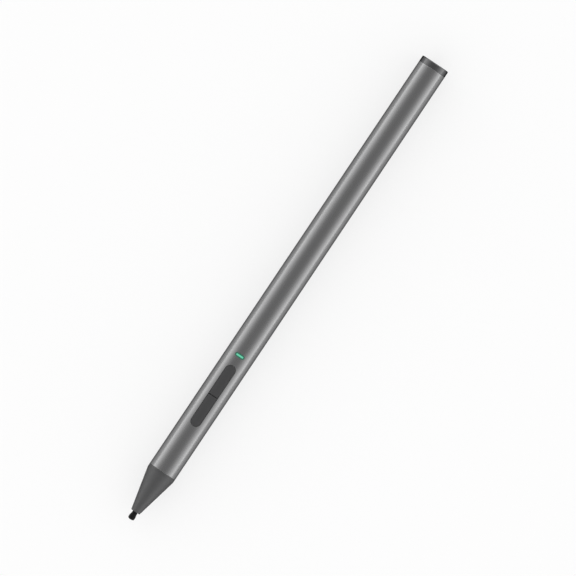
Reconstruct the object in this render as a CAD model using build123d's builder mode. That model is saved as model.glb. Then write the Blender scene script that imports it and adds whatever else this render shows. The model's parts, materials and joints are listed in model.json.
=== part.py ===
from build123d import *
import os
from math import pi, sqrt

# Rechargeable stylus pen with two side buttons, a charge light and a socket in the tail.
# The pen lies on its barrel with the buttons up. X runs from the nib to the tail, Z is up,
# and the origin is below the middle of the pen, on the surface that it lies on.
# A station is a distance along the pen from the tip of the nib. A height is measured up
# from the pen's axis, and a radius out from it. All lengths are in millimetres.

# Whole pen
overall_length = 171.2
barrel_diameter = 9.5
barrel_wall = 0.5
edge_break = 0.08

# Shared clearances
bond_gap = 0.02
slide_gap = 0.05
cut_overrun = 1.0
selector_reach = 0.01

# Nib
nib_exposed = 2.82
nib_length = 15.5
nib_bulb_diameter = 2.16
nib_bulb_station = 1.3
nib_crown = 0.22
nib_tip_round = 0.5
nib_stem_diameter = 1.76
nib_neck_length = 0.62
nib_guide_gap = 0.08
nib_tail_chamfer = 0.25

# Nose cone
cone_length = 15.18
cone_collar = 1.1
cone_tip_diameter = 3.1
cone_tip_round = 0.18
cone_shoulder_round = 0.6
cone_wall = 0.9
nib_guide_length = 3.2
spigot_length = 5.0
spigot_wall = 0.6

# Tilt ring inside the nose cone
tilt_ring_length = 7.0
tilt_ring_wall = 0.2
tilt_ring_gap = 0.03

# Nib holder and its spring
nib_travel = 0.4
holder_diameter = 2.7
holder_grip_length = 4.6
holder_grip_gap = 0.03
holder_nib_end_gap = 0.2
holder_slit_width = 0.25
holder_slit_length = 3.4
holder_slit_pairs = 2
holder_flange_gap = 0.3
holder_flange_thickness = 0.6
holder_stub_diameter = 2.2
holder_stop_gap = 0.1
spring_wire = 0.3
spring_turns = 6
spring_stub_gap = 0.15
spring_end_gap = 0.02
spring_steps = 36

# Pressure sensor and its housing
housing_front_wall = 0.8
housing_rear_flange = 0.8
housing_shell = 0.7
housing_seat_gap = 0.05
holder_rod_gap = 0.1
sensor_thickness = 1.2
sensor_rim_width = 0.5
sensor_rim_height = 0.15
sensor_pad_diameter = 2.0
sensor_pad_thickness = 0.5
sensor_pad_bevel = 0.15
sensor_flex_width = 2.0
sensor_flex_landing = 3.2

# Side buttons
button_seam_offset = 17.2
button_slot_length = 22.5
button_slot_width = 3.42
button_slot_gap = 0.1
button_split_gap = 0.2
button_proud = 0.06
button_edge_round = 0.12
button_flange_margin = 0.6
button_flange_thickness = 0.6
button_flange_play = 0.1
button_boss_diameter = 1.4
button_boss_length = 0.35
button_travel = 0.25

# Switches under the buttons
switch_length = 3.0
switch_width = 2.6
switch_floor = 0.15
switch_edge = 0.12
plunger_diameter = 1.2
plunger_depth = 0.3
plunger_gap = 0.1
plunger_stop_gap = 0.11
plunger_floor_gap = 0.2

# Charge light
light_offset = 3.72
light_slot_length = 3.3
light_slot_width = 1.35
light_slot_gap = 0.03
light_recess = 0.04
light_flange_margin = 0.5
light_flange_thickness = 0.5
light_foot_length = 1.4
light_foot_width = 0.9
light_foot_gap = 0.1
light_chip_length = 1.0
light_chip_width = 1.6
light_chip_height = 0.6

# Chassis that carries the boards and the battery
chassis_wall = 0.7
chassis_bulkhead = 1.2
chassis_rib = 1.0
chassis_seat = 0.25
chassis_end_gap = 0.05
flex_slot_gap = 0.15

# Circuit boards and their screws
board_thickness = 0.8
board_edge_gap = 0.05
board_end_gap = 0.2
board_spacing = 1.2
screw_head_diameter = 1.8
screw_head_height = 0.5
screw_head_bevel = 0.15
screw_shank_diameter = 1.0
screw_shank_length = 1.7
screw_recess_diameter = 0.7
screw_recess_depth = 0.25
screw_hole_gap = 0.1
screw_tip_gap = 0.15
boss_diameter = 2.2

# Chips and small components
antenna_length = 3.2
antenna_width = 1.6
antenna_height = 0.6
driver_side = 3.0
driver_height = 0.75
processor_side = 4.5
processor_height = 0.8
chip_bevel = 0.1
crystal_length = 2.0
crystal_width = 1.6
crystal_height = 0.5
inductor_side = 2.5
inductor_height = 1.2
inductor_corner = 0.4
capacitor_length = 0.8
capacitor_width = 0.45
capacitor_height = 0.45
capacitor_pitch = 1.1
capacitor_rows = 3
capacitor_edge_gap = 0.45
connector_length = 2.6
connector_width = 3.4
connector_height = 1.2
connector_wall = 0.25

# Battery
battery_gap = 0.15
battery_pad_thickness = 0.8
battery_end_bevel = 0.3
battery_crimp_offset = 2.2
battery_crimp_width = 0.8
battery_crimp_depth = 0.25
battery_tab_width = 1.2
battery_tab_thickness = 0.12
battery_tab_inset = 0.35
battery_tab_landing = 2.4
battery_tab_foot = 1.6

# Flex strip along the battery
flex_thickness = 0.15
flex_width = 2.4
flex_battery_gap = 0.05
flex_bend_radius = 0.8
flex_plug_depth = 1.2
flex_straight = 0.5
flex_overhang = 0.6
flex_fall_run = 4.4
flex_landing = 2.2

# Tail: charge board, socket and cap
tail_cap_length = 2.05
tail_cap_round = 0.35
tail_spigot_length = 2.4
charge_chip_length = 3.0
charge_chip_width = 3.0
charge_chip_height = 0.9
charge_chip_socket_gap = 1.4
socket_mouth_height = 2.56
socket_wall = 0.2
socket_depth = 7.3
socket_lip = 0.6
socket_gap = 0.05
socket_bore_gap = 0.08
tail_wall = 0.3
tongue_side_gap = 0.825
tongue_thickness = 0.7
tongue_recess = 0.85
tongue_base_length = 1.6
tongue_tip_chamfer = 0.15
contact_count = 12
contact_width = 0.28
contact_side_margin = 0.455
contact_length = 3.4
contact_thickness = 0.04
contact_tip_offset = 0.5

# Radii that follow from the barrel
barrel_radius = barrel_diameter / 2
bore_radius = barrel_radius - barrel_wall
spigot_radius = bore_radius - bond_gap
cone_bore_radius = spigot_radius - spigot_wall
cone_tip_radius = cone_tip_diameter / 2
chassis_radius = bore_radius - slide_gap
trough_radius = chassis_radius - chassis_wall
nib_stem_radius = nib_stem_diameter / 2
nib_guide_radius = nib_stem_radius + nib_guide_gap
holder_radius = holder_diameter / 2
holder_grip_radius = nib_stem_radius + holder_grip_gap
holder_stub_radius = holder_stub_diameter / 2
spring_radius = holder_stub_radius + spring_stub_gap + spring_wire / 2
housing_radius = cone_bore_radius - bond_gap
housing_bore_radius = housing_radius - housing_shell
sensor_radius = housing_bore_radius - slide_gap
battery_radius = trough_radius - battery_gap
boss_radius = boss_diameter / 2
socket_bore_radius = barrel_radius - tail_wall
socket_outer_width = 2 * (socket_bore_radius - socket_bore_gap)
socket_outer_height = socket_mouth_height + 2 * socket_wall
socket_mouth_width = socket_outer_width - 2 * socket_wall
tongue_width = socket_mouth_width - 2 * tongue_side_gap
tail_spigot_radius = socket_bore_radius - bond_gap

# Stations from the nib to the sensor
cone_front = nib_exposed
cone_seam = cone_front + cone_length
cone_shoulder = cone_seam - cone_collar
cone_slope = (barrel_radius - cone_tip_radius) / (cone_shoulder - cone_front)
cone_guide_end = cone_front + nib_guide_length
cone_cavity_end = cone_front + (cone_bore_radius + cone_wall - cone_tip_radius) / cone_slope
spigot_end = cone_seam + spigot_length
housing_front = cone_cavity_end + housing_seat_gap
housing_rear = spigot_end + housing_rear_flange
holder_flange_front = housing_front + housing_front_wall
holder_flange_rear = holder_flange_front + holder_flange_thickness
holder_grip_end = nib_length + holder_nib_end_gap
holder_front = holder_grip_end - holder_grip_length
sensor_front = housing_rear - sensor_thickness
sensor_pad_front = sensor_front - sensor_pad_thickness
holder_stub_end = sensor_pad_front - nib_travel - holder_stop_gap

# Stations of the buttons and the charge light
button_slot_front = cone_seam + button_seam_offset
button_slot_rear = button_slot_front + button_slot_length
button_split = (button_slot_front + button_slot_rear) / 2
button_length = (button_slot_length - button_split_gap) / 2 - button_slot_gap
switch_offset = (button_length + button_split_gap) / 2
light_station = button_slot_rear + light_offset

# Heights, from the bore down to the main board
button_width = button_slot_width - 2 * button_slot_gap
button_flange_width = button_width + 2 * button_flange_margin
button_top_radius = barrel_radius + button_proud
button_flange_top = sqrt(bore_radius**2 - (button_flange_width / 2) ** 2) - button_flange_play
button_floor = button_flange_top - button_flange_thickness
plunger_top = button_floor - button_boss_length
plunger_proud = button_travel + plunger_stop_gap
switch_height = switch_floor + plunger_floor_gap + button_travel + plunger_depth
switch_top = plunger_top - plunger_proud
board_top = switch_top - switch_height
board_bottom = board_top - board_thickness
light_flange_length = light_slot_length + 2 * light_flange_margin
light_flange_width = light_slot_width + 2 * light_flange_margin
light_flange_top = sqrt(bore_radius**2 - (light_flange_length / 2) ** 2) - bond_gap
light_flange_floor = light_flange_top - light_flange_thickness
light_chip_top = board_top + light_chip_height
board_half_width = sqrt(trough_radius**2 - board_bottom**2) + chassis_seat

# Stations along the main board
chassis_front = housing_rear
board_front = chassis_front + chassis_bulkhead + board_end_gap
antenna_station = board_front + sensor_flex_landing + board_spacing + antenna_length / 2
front_screw = antenna_station + antenna_length / 2 + board_spacing / 2 + screw_head_diameter / 2
processor_station = light_station + light_flange_width / 2 + board_spacing + processor_side / 2
crystal_station = processor_station + (processor_side + crystal_length) / 2 + board_spacing
inductor_station = crystal_station + (crystal_length + inductor_side) / 2 + board_spacing
connector_station = inductor_station + (inductor_side + connector_length) / 2 + board_spacing
connector_rear = connector_station + connector_length / 2
rear_screw = connector_rear + board_spacing + boss_radius
board_rear = rear_screw + boss_radius + board_spacing
battery_rib_front = board_rear + board_end_gap
battery_pad_front = battery_rib_front + chassis_rib
battery_front = battery_pad_front + battery_pad_thickness

# Stations from the tail face forward to the battery
tail_seam = overall_length - tail_cap_length
tail_spigot_front = tail_seam - tail_spigot_length
socket_front = overall_length - socket_lip
socket_rear = socket_front - socket_depth
chassis_rear = tail_spigot_front - chassis_end_gap
charge_board_rear = chassis_rear - board_end_gap
charge_chip_station = socket_rear - charge_chip_socket_gap - charge_chip_length / 2
charge_screw = charge_chip_station - (charge_chip_length + screw_head_diameter + board_spacing) / 2
flex_rear = charge_screw - (screw_head_diameter + board_spacing) / 2
flex_fall_rear = flex_rear - flex_landing
flex_fall_front = flex_fall_rear - flex_fall_run
battery_rear = flex_fall_front - flex_overhang
tail_rib_front = battery_rear + battery_pad_thickness
tail_rib_rear = tail_rib_front + chassis_rib
charge_board_front = tail_rib_rear + board_end_gap

# Heights in the tail and along the flex strip
charge_board_top = -socket_outer_height / 2
charge_board_bottom = charge_board_top - board_thickness
charge_board_half_width = sqrt(trough_radius**2 - charge_board_bottom**2) + chassis_seat
flex_plug_height = board_top + connector_height / 2
flex_run_height = battery_radius + flex_battery_gap + flex_thickness / 2
flex_landing_height = charge_board_top + flex_thickness / 2
flex_front = connector_rear - flex_plug_depth
flex_rise_front = connector_rear + flex_straight
flex_rise_rear = battery_rib_front

# Planes: along the pen seen from the side, across it, and level with it
nib_tip_x = -overall_length / 2
pen_axis = Axis((0, 0, barrel_radius), (1, 0, 0))
side_plane = Plane(origin=(nib_tip_x, 0, barrel_radius), x_dir=(1, 0, 0), z_dir=(0, -1, 0))


def across(station):
    """Plane square to the pen at a station: sketch x is the pen's Y, sketch y is up."""
    return Plane(origin=(nib_tip_x + station, 0, barrel_radius), x_dir=(0, 1, 0), z_dir=(1, 0, 0))


def level(height):
    """Level plane at a height from the axis: sketch x is the station, sketch y is the pen's Y."""
    return Plane(origin=(nib_tip_x, 0, barrel_radius + height), x_dir=(1, 0, 0), z_dir=(0, 0, 1))


def cone_radius(station):
    """Outer radius of the nose cone's taper at a station."""
    return cone_tip_radius + cone_slope * (station - cone_front)


def rims(part, station):
    """Circular edges of a part that lie in the plane at a station, the smallest first."""
    x = nib_tip_x + station
    circles = part.edges().filter_by(GeomType.CIRCLE)
    return circles.filter_by_position(Axis.X, x - selector_reach, x + selector_reach).sort_by(SortBy.RADIUS)


def write(builder, name):
    """Label a finished piece and write it to its own file."""
    builder.part.label = name
    export_step(builder.part, f"parts/{name}.step")


def profile(*points):
    """A closed outline of (station, radius) points, to be turned about the pen's axis."""
    with BuildSketch(side_plane) as outline:
        with BuildLine():
            Polyline(*points, close=True)
        make_face()
    return outline.sketch


def chip(station, length, width, height, base=board_top, bevel=0):
    """A small component standing on a board, with its top edges bevelled."""
    with BuildPart() as piece:
        with BuildSketch(level(base)):
            with Locations((station, 0)):
                Rectangle(length, width)
        extrude(amount=height)
        if bevel:
            chamfer(piece.faces().sort_by(Axis.Z)[-1].edges(), bevel)
    return piece


os.makedirs("parts", exist_ok=True)

# Barrel: a drawn tube with openings for the buttons and the charge light
with BuildPart() as barrel:
    with BuildSketch(across(cone_seam)):
        Circle(barrel_radius)
        Circle(bore_radius, mode=Mode.SUBTRACT)
    extrude(amount=tail_seam - cone_seam)
    with BuildSketch(across(tail_seam)):
        Circle(socket_bore_radius)
    extrude(amount=socket_rear - slide_gap - tail_seam, mode=Mode.SUBTRACT)
    chamfer([rims(barrel, cone_seam)[-1], rims(barrel, tail_seam)[-1]], edge_break)
    with BuildSketch(level(0)):
        with Locations((button_split, 0)):
            SlotOverall(button_slot_length, button_slot_width)
        with Locations((light_station, 0)):
            SlotOverall(light_slot_length, light_slot_width, rotation=90)
    extrude(amount=barrel_radius + cut_overrun, mode=Mode.SUBTRACT)
write(barrel, "barrel")

# Nose cone: a moulded taper with the nib's guide, a hollow and a spigot for the barrel
with BuildPart() as nose_cone:
    turned_outline = profile(
        (cone_front, nib_guide_radius),
        (cone_front, cone_tip_radius),
        (cone_shoulder, barrel_radius),
        (cone_seam, barrel_radius),
        (cone_seam, spigot_radius),
        (spigot_end, spigot_radius),
        (spigot_end, cone_bore_radius),
        (cone_cavity_end, cone_bore_radius),
        (cone_guide_end, cone_radius(cone_guide_end) - cone_wall),
        (cone_guide_end, nib_guide_radius),
    )
    revolve(turned_outline, axis=pen_axis)
    chamfer(rims(nose_cone, cone_seam)[-1], edge_break)
    fillet(rims(nose_cone, cone_shoulder)[-1], cone_shoulder_round)
    fillet(rims(nose_cone, cone_front)[-1], cone_tip_round)
    chamfer(rims(nose_cone, cone_front)[0], edge_break)
write(nose_cone, "nose_cone")

# Tilt ring: a conical electrode that lines the hollow of the nose cone
tilt_ring_rear = cone_cavity_end
tilt_ring_front = tilt_ring_rear - tilt_ring_length
tilt_ring_offset = cone_wall + tilt_ring_gap
with BuildPart() as tilt_ring:
    turned_outline = profile(
        (tilt_ring_front, cone_radius(tilt_ring_front) - tilt_ring_offset - tilt_ring_wall),
        (tilt_ring_front, cone_radius(tilt_ring_front) - tilt_ring_offset),
        (tilt_ring_rear, cone_radius(tilt_ring_rear) - tilt_ring_offset),
        (tilt_ring_rear, cone_radius(tilt_ring_rear) - tilt_ring_offset - tilt_ring_wall),
    )
    revolve(turned_outline, axis=pen_axis)
write(tilt_ring, "tilt_ring")

# Nib: a blunt crowned bulb on a stem that pulls out to the front
nib_bulb_radius = nib_bulb_diameter / 2
nib_crown_radius = (nib_bulb_radius**2 + nib_crown**2) / (2 * nib_crown)
with BuildPart() as nib:
    with BuildSketch(side_plane) as nib_profile:
        with BuildLine():
            RadiusArc((0, 0), (nib_crown, nib_bulb_radius), nib_crown_radius)
            Polyline(
                (nib_crown, nib_bulb_radius),
                (nib_bulb_station, nib_bulb_radius),
                (cone_front - nib_neck_length, nib_stem_radius),
                (nib_length, nib_stem_radius),
                (nib_length, 0),
                (0, 0),
            )
        make_face()
        fillet(nib_profile.vertices().group_by(Axis.Y)[-1].sort_by(Axis.X)[0], nib_tip_round)
    revolve(axis=pen_axis)
    chamfer(rims(nib, nib_length)[-1], nib_tail_chamfer)
write(nib, "nib")

# Nib holder: slit grip for the stem, a flange that stops on the housing, and a stub
holder_flange_radius = housing_bore_radius - holder_flange_gap
with BuildPart() as nib_holder:
    turned_outline = profile(
        (holder_front, holder_grip_radius),
        (holder_front, holder_radius),
        (holder_flange_front, holder_radius),
        (holder_flange_front, holder_flange_radius),
        (holder_flange_rear, holder_flange_radius),
        (holder_flange_rear, holder_stub_radius),
        (holder_stub_end, holder_stub_radius),
        (holder_stub_end, 0),
        (holder_grip_end, 0),
        (holder_grip_end, holder_grip_radius),
    )
    revolve(turned_outline, axis=pen_axis)
    with BuildSketch(across(holder_front)):
        with PolarLocations(0, holder_slit_pairs, angular_range=180):
            Rectangle(holder_diameter + cut_overrun, holder_slit_width)
    extrude(amount=holder_slit_length, mode=Mode.SUBTRACT)
write(nib_holder, "nib_holder")

# Nib spring: an open coil between the holder's flange and the sensor
spring_inset = spring_wire / 2 + spring_end_gap
spring_length = sensor_front - holder_flange_rear - 2 * spring_inset
spring_pitch = spring_length / spring_turns
with BuildPart() as nib_spring:
    with BuildLine() as spring_path:
        Helix(
            pitch=spring_pitch,
            height=spring_length,
            radius=spring_radius,
            center=(nib_tip_x + holder_flange_rear + spring_inset, 0, barrel_radius),
            direction=(1, 0, 0),
        )
    with BuildSketch(Plane(origin=spring_path.line @ 0, z_dir=spring_path.line % 0)):
        Circle(spring_wire / 2)
    sweep(is_frenet=True)
write(nib_spring, "nib_spring")
spring_wire_path = spring_path.edges()[0]
spring_step_count = spring_turns * spring_steps
spring_points = [
    spring_wire_path.position_at(step / spring_step_count)
    for step in range(spring_step_count + 1)
]
spring_gap = min(
    (far - near).length
    for index, near in enumerate(spring_points)
    for far in spring_points[index + spring_steps // 2:]
) - spring_wire
spring_fill_share = nib_spring.part.volume / (pi * spring_wire**2 / 4 * spring_wire_path.length)
print("least gap between the spring's turns", round(spring_gap, 3))
print("spring's volume over its section times its length", round(spring_fill_share, 4))

# Sensor housing: a cup in the cone's spigot, stopped by its rear flange
with BuildPart() as sensor_housing:
    turned_outline = profile(
        (housing_front, holder_radius + holder_rod_gap),
        (housing_front, housing_radius),
        (spigot_end, housing_radius),
        (spigot_end, chassis_radius),
        (housing_rear, chassis_radius),
        (housing_rear, housing_bore_radius),
        (holder_flange_front, housing_bore_radius),
        (holder_flange_front, holder_radius + holder_rod_gap),
    )
    revolve(turned_outline, axis=pen_axis)
    chamfer(rims(sensor_housing, housing_front)[-1], edge_break)
write(sensor_housing, "sensor_housing")

# Pressure sensor: a round can with a raised rim behind the spring and the pad
with BuildPart() as pressure_sensor:
    turned_outline = profile(
        (sensor_front, 0),
        (sensor_front, sensor_radius - sensor_rim_width),
        (sensor_front - sensor_rim_height, sensor_radius - sensor_rim_width),
        (sensor_front - sensor_rim_height, sensor_radius),
        (housing_rear, sensor_radius),
        (housing_rear, 0),
    )
    revolve(turned_outline, axis=pen_axis)
write(pressure_sensor, "pressure_sensor")

# Sensor pad: the soft button that the holder's stub presses
with BuildPart() as sensor_pad:
    with BuildSketch(across(sensor_front)):
        Circle(sensor_pad_diameter / 2)
    extrude(amount=-sensor_pad_thickness)
    chamfer(rims(sensor_pad, sensor_pad_front)[-1], sensor_pad_bevel)
write(sensor_pad, "sensor_pad")

# Sensor flex: a strip from the back of the sensor to the front of the main board
with BuildPart() as sensor_flex:
    with BuildSketch(level(board_top)):
        with Locations((housing_rear, 0)):
            Rectangle(
                board_front + sensor_flex_landing - housing_rear,
                sensor_flex_width,
                align=(Align.MIN, Align.CENTER),
            )
    extrude(amount=flex_thickness)
write(sensor_flex, "sensor_flex")


def cradle(front, rim_height, hollow=True):
    """Section of the chassis at a station: a ring or a disc, cut off at a height."""
    with BuildSketch(across(front)) as section:
        Circle(chassis_radius)
        if hollow:
            Circle(trough_radius, mode=Mode.SUBTRACT)
        with Locations((0, rim_height)):
            Rectangle(
                chassis_radius * 2,
                chassis_radius * 2,
                align=(Align.CENTER, Align.MIN),
                mode=Mode.SUBTRACT,
            )
    return section.sketch


# Chassis: a moulded trough in the bore that carries the boards and cradles the battery
trough_front = chassis_front + chassis_bulkhead
board_half_slot = board_half_width + board_edge_gap
screw_hole_depth = screw_shank_length + screw_tip_gap
with BuildPart() as chassis:
    with BuildSketch(across(chassis_front)):
        Circle(chassis_radius)
    extrude(amount=chassis_bulkhead)
    extrude(cradle(trough_front, board_top), amount=tail_rib_front - trough_front)
    extrude(cradle(battery_rib_front, board_top, hollow=False), amount=chassis_rib)
    extrude(cradle(tail_rib_front, board_top, hollow=False), amount=chassis_rib)
    extrude(cradle(tail_rib_rear, charge_board_bottom), amount=chassis_rear - tail_rib_rear)
    with BuildSketch(level(board_bottom)):
        with Locations((front_screw, 0), (rear_screw, 0)):
            Circle(boss_radius)
    extrude(amount=-(board_bottom + trough_radius + chassis_wall / 2))
    with BuildSketch(level(charge_board_bottom)):
        with Locations((charge_screw, 0)):
            Circle(boss_radius)
    extrude(amount=-(charge_board_bottom + trough_radius + chassis_wall / 2))
    with BuildSketch(level(board_bottom)):
        with Locations((trough_front, 0)):
            Rectangle(
                battery_rib_front - trough_front,
                2 * board_half_slot,
                align=(Align.MIN, Align.CENTER),
            )
    extrude(amount=board_thickness, mode=Mode.SUBTRACT)
    with BuildSketch(level(board_top - flex_slot_gap)):
        with Locations((chassis_front - cut_overrun, 0)):
            Rectangle(
                chassis_bulkhead + 2 * cut_overrun,
                sensor_flex_width + 2 * flex_slot_gap,
                align=(Align.MIN, Align.CENTER),
            )
    extrude(amount=flex_thickness + 2 * flex_slot_gap, mode=Mode.SUBTRACT)
    with BuildSketch(level(board_bottom)):
        with Locations((front_screw, 0), (rear_screw, 0)):
            Circle(screw_shank_diameter / 2 + bond_gap)
    extrude(amount=board_thickness - screw_hole_depth, mode=Mode.SUBTRACT)
    with BuildSketch(level(charge_board_bottom)):
        with Locations((charge_screw, 0)):
            Circle(screw_shank_diameter / 2 + bond_gap)
    extrude(amount=board_thickness - screw_hole_depth, mode=Mode.SUBTRACT)
write(chassis, "chassis")


def circuit_board(front, rear, half_width, bottom, screws):
    """A flat board with screw holes."""
    with BuildPart() as board:
        with BuildSketch(level(bottom)):
            with Locations((front, 0)):
                Rectangle(rear - front, 2 * half_width, align=(Align.MIN, Align.CENTER))
            with Locations(*[(station, 0) for station in screws]):
                Circle(screw_shank_diameter / 2 + screw_hole_gap, mode=Mode.SUBTRACT)
        extrude(amount=board_thickness)
    return board


main_board = circuit_board(
    board_front, board_rear, board_half_width, board_bottom, [front_screw, rear_screw]
)
write(main_board, "main_board")
charge_board = circuit_board(
    charge_board_front, charge_board_rear, charge_board_half_width, charge_board_bottom, [charge_screw]
)
write(charge_board, "charge_board")


def screw(station, board_height):
    """A screw with a low bevelled head through a board at a station."""
    with BuildPart() as piece:
        with BuildSketch(level(board_height)):
            with Locations((station, 0)):
                Circle(screw_head_diameter / 2)
        extrude(amount=screw_head_height)
        chamfer(piece.edges().sort_by(Axis.Z)[-1], screw_head_bevel)
        with BuildSketch(level(board_height)):
            with Locations((station, 0)):
                Circle(screw_shank_diameter / 2)
        extrude(amount=-screw_shank_length)
        with BuildSketch(level(board_height + screw_head_height)):
            with Locations((station, 0)):
                RegularPolygon(screw_recess_diameter / 2, 6)
        extrude(amount=-screw_recess_depth, mode=Mode.SUBTRACT)
    return piece.part


# Board screws: two in the main board and one in the charge board
screws = [
    screw(front_screw, board_top),
    screw(rear_screw, board_top),
    screw(charge_screw, charge_board_top),
]
with BuildPart() as board_screws:
    add(screws)
write(board_screws, "board_screws")


def half_slot(length, width, end):
    """Front (end -1) or rear (end +1) half of a slot outline, less half the gap between."""
    with Locations((button_split, 0)):
        SlotOverall(length, width)
    with Locations((button_split - end * (length - button_split_gap) / 2, 0)):
        Rectangle(length, width, mode=Mode.SUBTRACT)


def side_button(end):
    """A button that follows the barrel's curve, held inside by a flange round its foot."""
    length = button_slot_length - 2 * button_slot_gap
    with BuildPart() as button:
        with BuildSketch(level(button_floor)):
            half_slot(length, button_width, end)
        extrude(amount=button_top_radius + cut_overrun - button_floor)
        with BuildSketch(across(button_slot_front - cut_overrun)):
            Circle(button_top_radius)
        extrude(amount=button_slot_length + 2 * cut_overrun, mode=Mode.INTERSECT)
        fillet(button.faces().filter_by(GeomType.CYLINDER).sort_by(Axis.Z)[-1].edges(), button_edge_round)
        with BuildSketch(level(button_floor)):
            half_slot(length + 2 * button_flange_margin, button_flange_width, end)
        extrude(amount=button_flange_thickness)
        with BuildSketch(level(button_floor)):
            with Locations((button_split + end * switch_offset, 0)):
                Circle(button_boss_diameter / 2)
        extrude(amount=-button_boss_length)
    return button


def switch_case(end):
    """A low switch case on the main board, with a well for its plunger."""
    station = button_split + end * switch_offset
    with BuildPart() as case:
        with BuildSketch(level(board_top)):
            with Locations((station, 0)):
                Rectangle(switch_length, switch_width)
        extrude(amount=switch_height)
        chamfer(case.faces().sort_by(Axis.Z)[-1].edges(), switch_edge)
        with BuildSketch(level(board_top + switch_floor)):
            with Locations((station, 0)):
                Circle(plunger_diameter / 2 + plunger_gap)
        extrude(amount=switch_height, mode=Mode.SUBTRACT)
    return case


def switch_plunger(end):
    """The plunger that the button's boss pushes into its switch."""
    with BuildPart() as plunger:
        with BuildSketch(level(switch_top - plunger_depth)):
            with Locations((button_split + end * switch_offset, 0)):
                Circle(plunger_diameter / 2)
        extrude(amount=plunger_depth + plunger_proud)
    return plunger


# Front and rear button, each over its own switch
for place, end in (("front", -1), ("rear", 1)):
    write(side_button(end), f"{place}_button")
    write(switch_case(end), f"{place}_switch")
    write(switch_plunger(end), f"{place}_switch_plunger")

# Light guide: shows flush in the barrel and reaches down to the light on the board
with BuildPart() as light_guide:
    with BuildSketch(level(light_flange_floor)):
        with Locations((light_station, 0)):
            SlotOverall(
                light_slot_length - 2 * light_slot_gap, light_slot_width - 2 * light_slot_gap, rotation=90
            )
    extrude(amount=barrel_radius + cut_overrun - light_flange_floor)
    with BuildSketch(across(light_station - light_slot_width)):
        Circle(barrel_radius - light_recess)
    extrude(amount=2 * light_slot_width, mode=Mode.INTERSECT)
    with BuildSketch(level(light_flange_floor)):
        with Locations((light_station, 0)):
            SlotOverall(light_flange_length, light_flange_width, rotation=90)
    extrude(amount=light_flange_thickness)
    with BuildSketch(level(light_flange_floor)):
        with Locations((light_station, 0)):
            Rectangle(light_foot_width, light_foot_length)
    extrude(amount=light_chip_top + light_foot_gap - light_flange_floor)
write(light_guide, "light_guide")

# Components on the main board and the charge board
write(chip(light_station, light_chip_length, light_chip_width, light_chip_height), "status_light")
write(chip(antenna_station, antenna_length, antenna_width, antenna_height), "antenna")
write(chip(button_split, driver_side, driver_side, driver_height, bevel=chip_bevel), "driver_chip")
write(
    chip(
        processor_station,
        processor_side,
        processor_side,
        processor_height,
        bevel=chip_bevel,
    ),
    "processor",
)
write(chip(crystal_station, crystal_length, crystal_width, crystal_height, bevel=chip_bevel), "crystal")
write(
    chip(
        charge_chip_station,
        charge_chip_length,
        charge_chip_width,
        charge_chip_height,
        base=charge_board_top,
        bevel=chip_bevel,
    ),
    "charge_chip",
)

# Power inductor with rounded corners
with BuildPart() as inductor:
    with BuildSketch(level(board_top)):
        with Locations((inductor_station, 0)):
            RectangleRounded(inductor_side, inductor_side, inductor_corner)
    extrude(amount=inductor_height)
write(inductor, "inductor")

# Capacitors in a row along each side of the processor
capacitor_spread = processor_side + 2 * capacitor_edge_gap + capacitor_width
with BuildPart() as capacitors:
    with BuildSketch(level(board_top)):
        with Locations((processor_station, 0)):
            with GridLocations(capacitor_pitch, capacitor_spread, capacitor_rows, 2):
                Rectangle(capacitor_length, capacitor_width)
    extrude(amount=capacitor_height)
write(capacitors, "capacitors")

# Flex connector: a low housing open to the rear, where the strip plugs in
with BuildPart() as flex_connector:
    with BuildSketch(level(board_top)):
        with Locations((connector_station, 0)):
            Rectangle(connector_length, connector_width)
    extrude(amount=connector_height)
    with BuildSketch(across(connector_rear)):
        with Locations((0, flex_plug_height)):
            Rectangle(connector_width - 2 * connector_wall, connector_height - 2 * connector_wall)
    extrude(amount=-(flex_plug_depth + slide_gap), mode=Mode.SUBTRACT)
write(flex_connector, "flex_connector")

# Battery: a wrapped cylindrical cell with a crimp behind its front end
with BuildPart() as battery:
    with BuildSketch(across(battery_front)):
        Circle(battery_radius)
    extrude(amount=battery_rear - battery_front)
    chamfer([rims(battery, battery_front)[-1], rims(battery, battery_rear)[-1]], battery_end_bevel)
    with BuildSketch(across(battery_front + battery_crimp_offset)):
        Circle(battery_radius + cut_overrun)
        Circle(battery_radius - battery_crimp_depth, mode=Mode.SUBTRACT)
    extrude(amount=battery_crimp_width, mode=Mode.SUBTRACT)
write(battery, "battery")

# Battery tabs: two bent strips from the front of the cell to the main board
tab_foot_bottom = board_top + battery_tab_thickness - battery_tab_foot
battery_tab_edge = battery_radius - battery_tab_inset
with BuildPart() as battery_tabs:
    with BuildSketch(side_plane):
        with BuildLine():
            Polyline(
                (board_rear - battery_tab_landing, board_top),
                (board_rear - battery_tab_landing, board_top + battery_tab_thickness),
                (battery_front, board_top + battery_tab_thickness),
                (battery_front, tab_foot_bottom),
                (battery_front - battery_tab_thickness, tab_foot_bottom),
                (battery_front - battery_tab_thickness, board_top),
                close=True,
            )
        make_face()
    extrude(amount=battery_tab_edge, both=True)
    with BuildSketch(side_plane):
        with Locations((board_rear - battery_tab_landing - cut_overrun, board_top)):
            Rectangle(
                battery_front - board_rear + battery_tab_landing + 2 * cut_overrun,
                2 * battery_tab_foot + cut_overrun,
                align=(Align.MIN, Align.CENTER),
            )
    extrude(amount=battery_tab_edge - battery_tab_width, both=True, mode=Mode.SUBTRACT)
write(battery_tabs, "battery_tabs")


def battery_pad(front):
    """Outline of a foam pad at a station, below the battery's tabs."""
    with BuildSketch(across(front)) as outline:
        Circle(battery_radius)
        with Locations((0, tab_foot_bottom - slide_gap)):
            Rectangle(
                2 * battery_radius,
                2 * battery_radius,
                align=(Align.CENTER, Align.MIN),
                mode=Mode.SUBTRACT,
            )
    return outline.sketch


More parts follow.
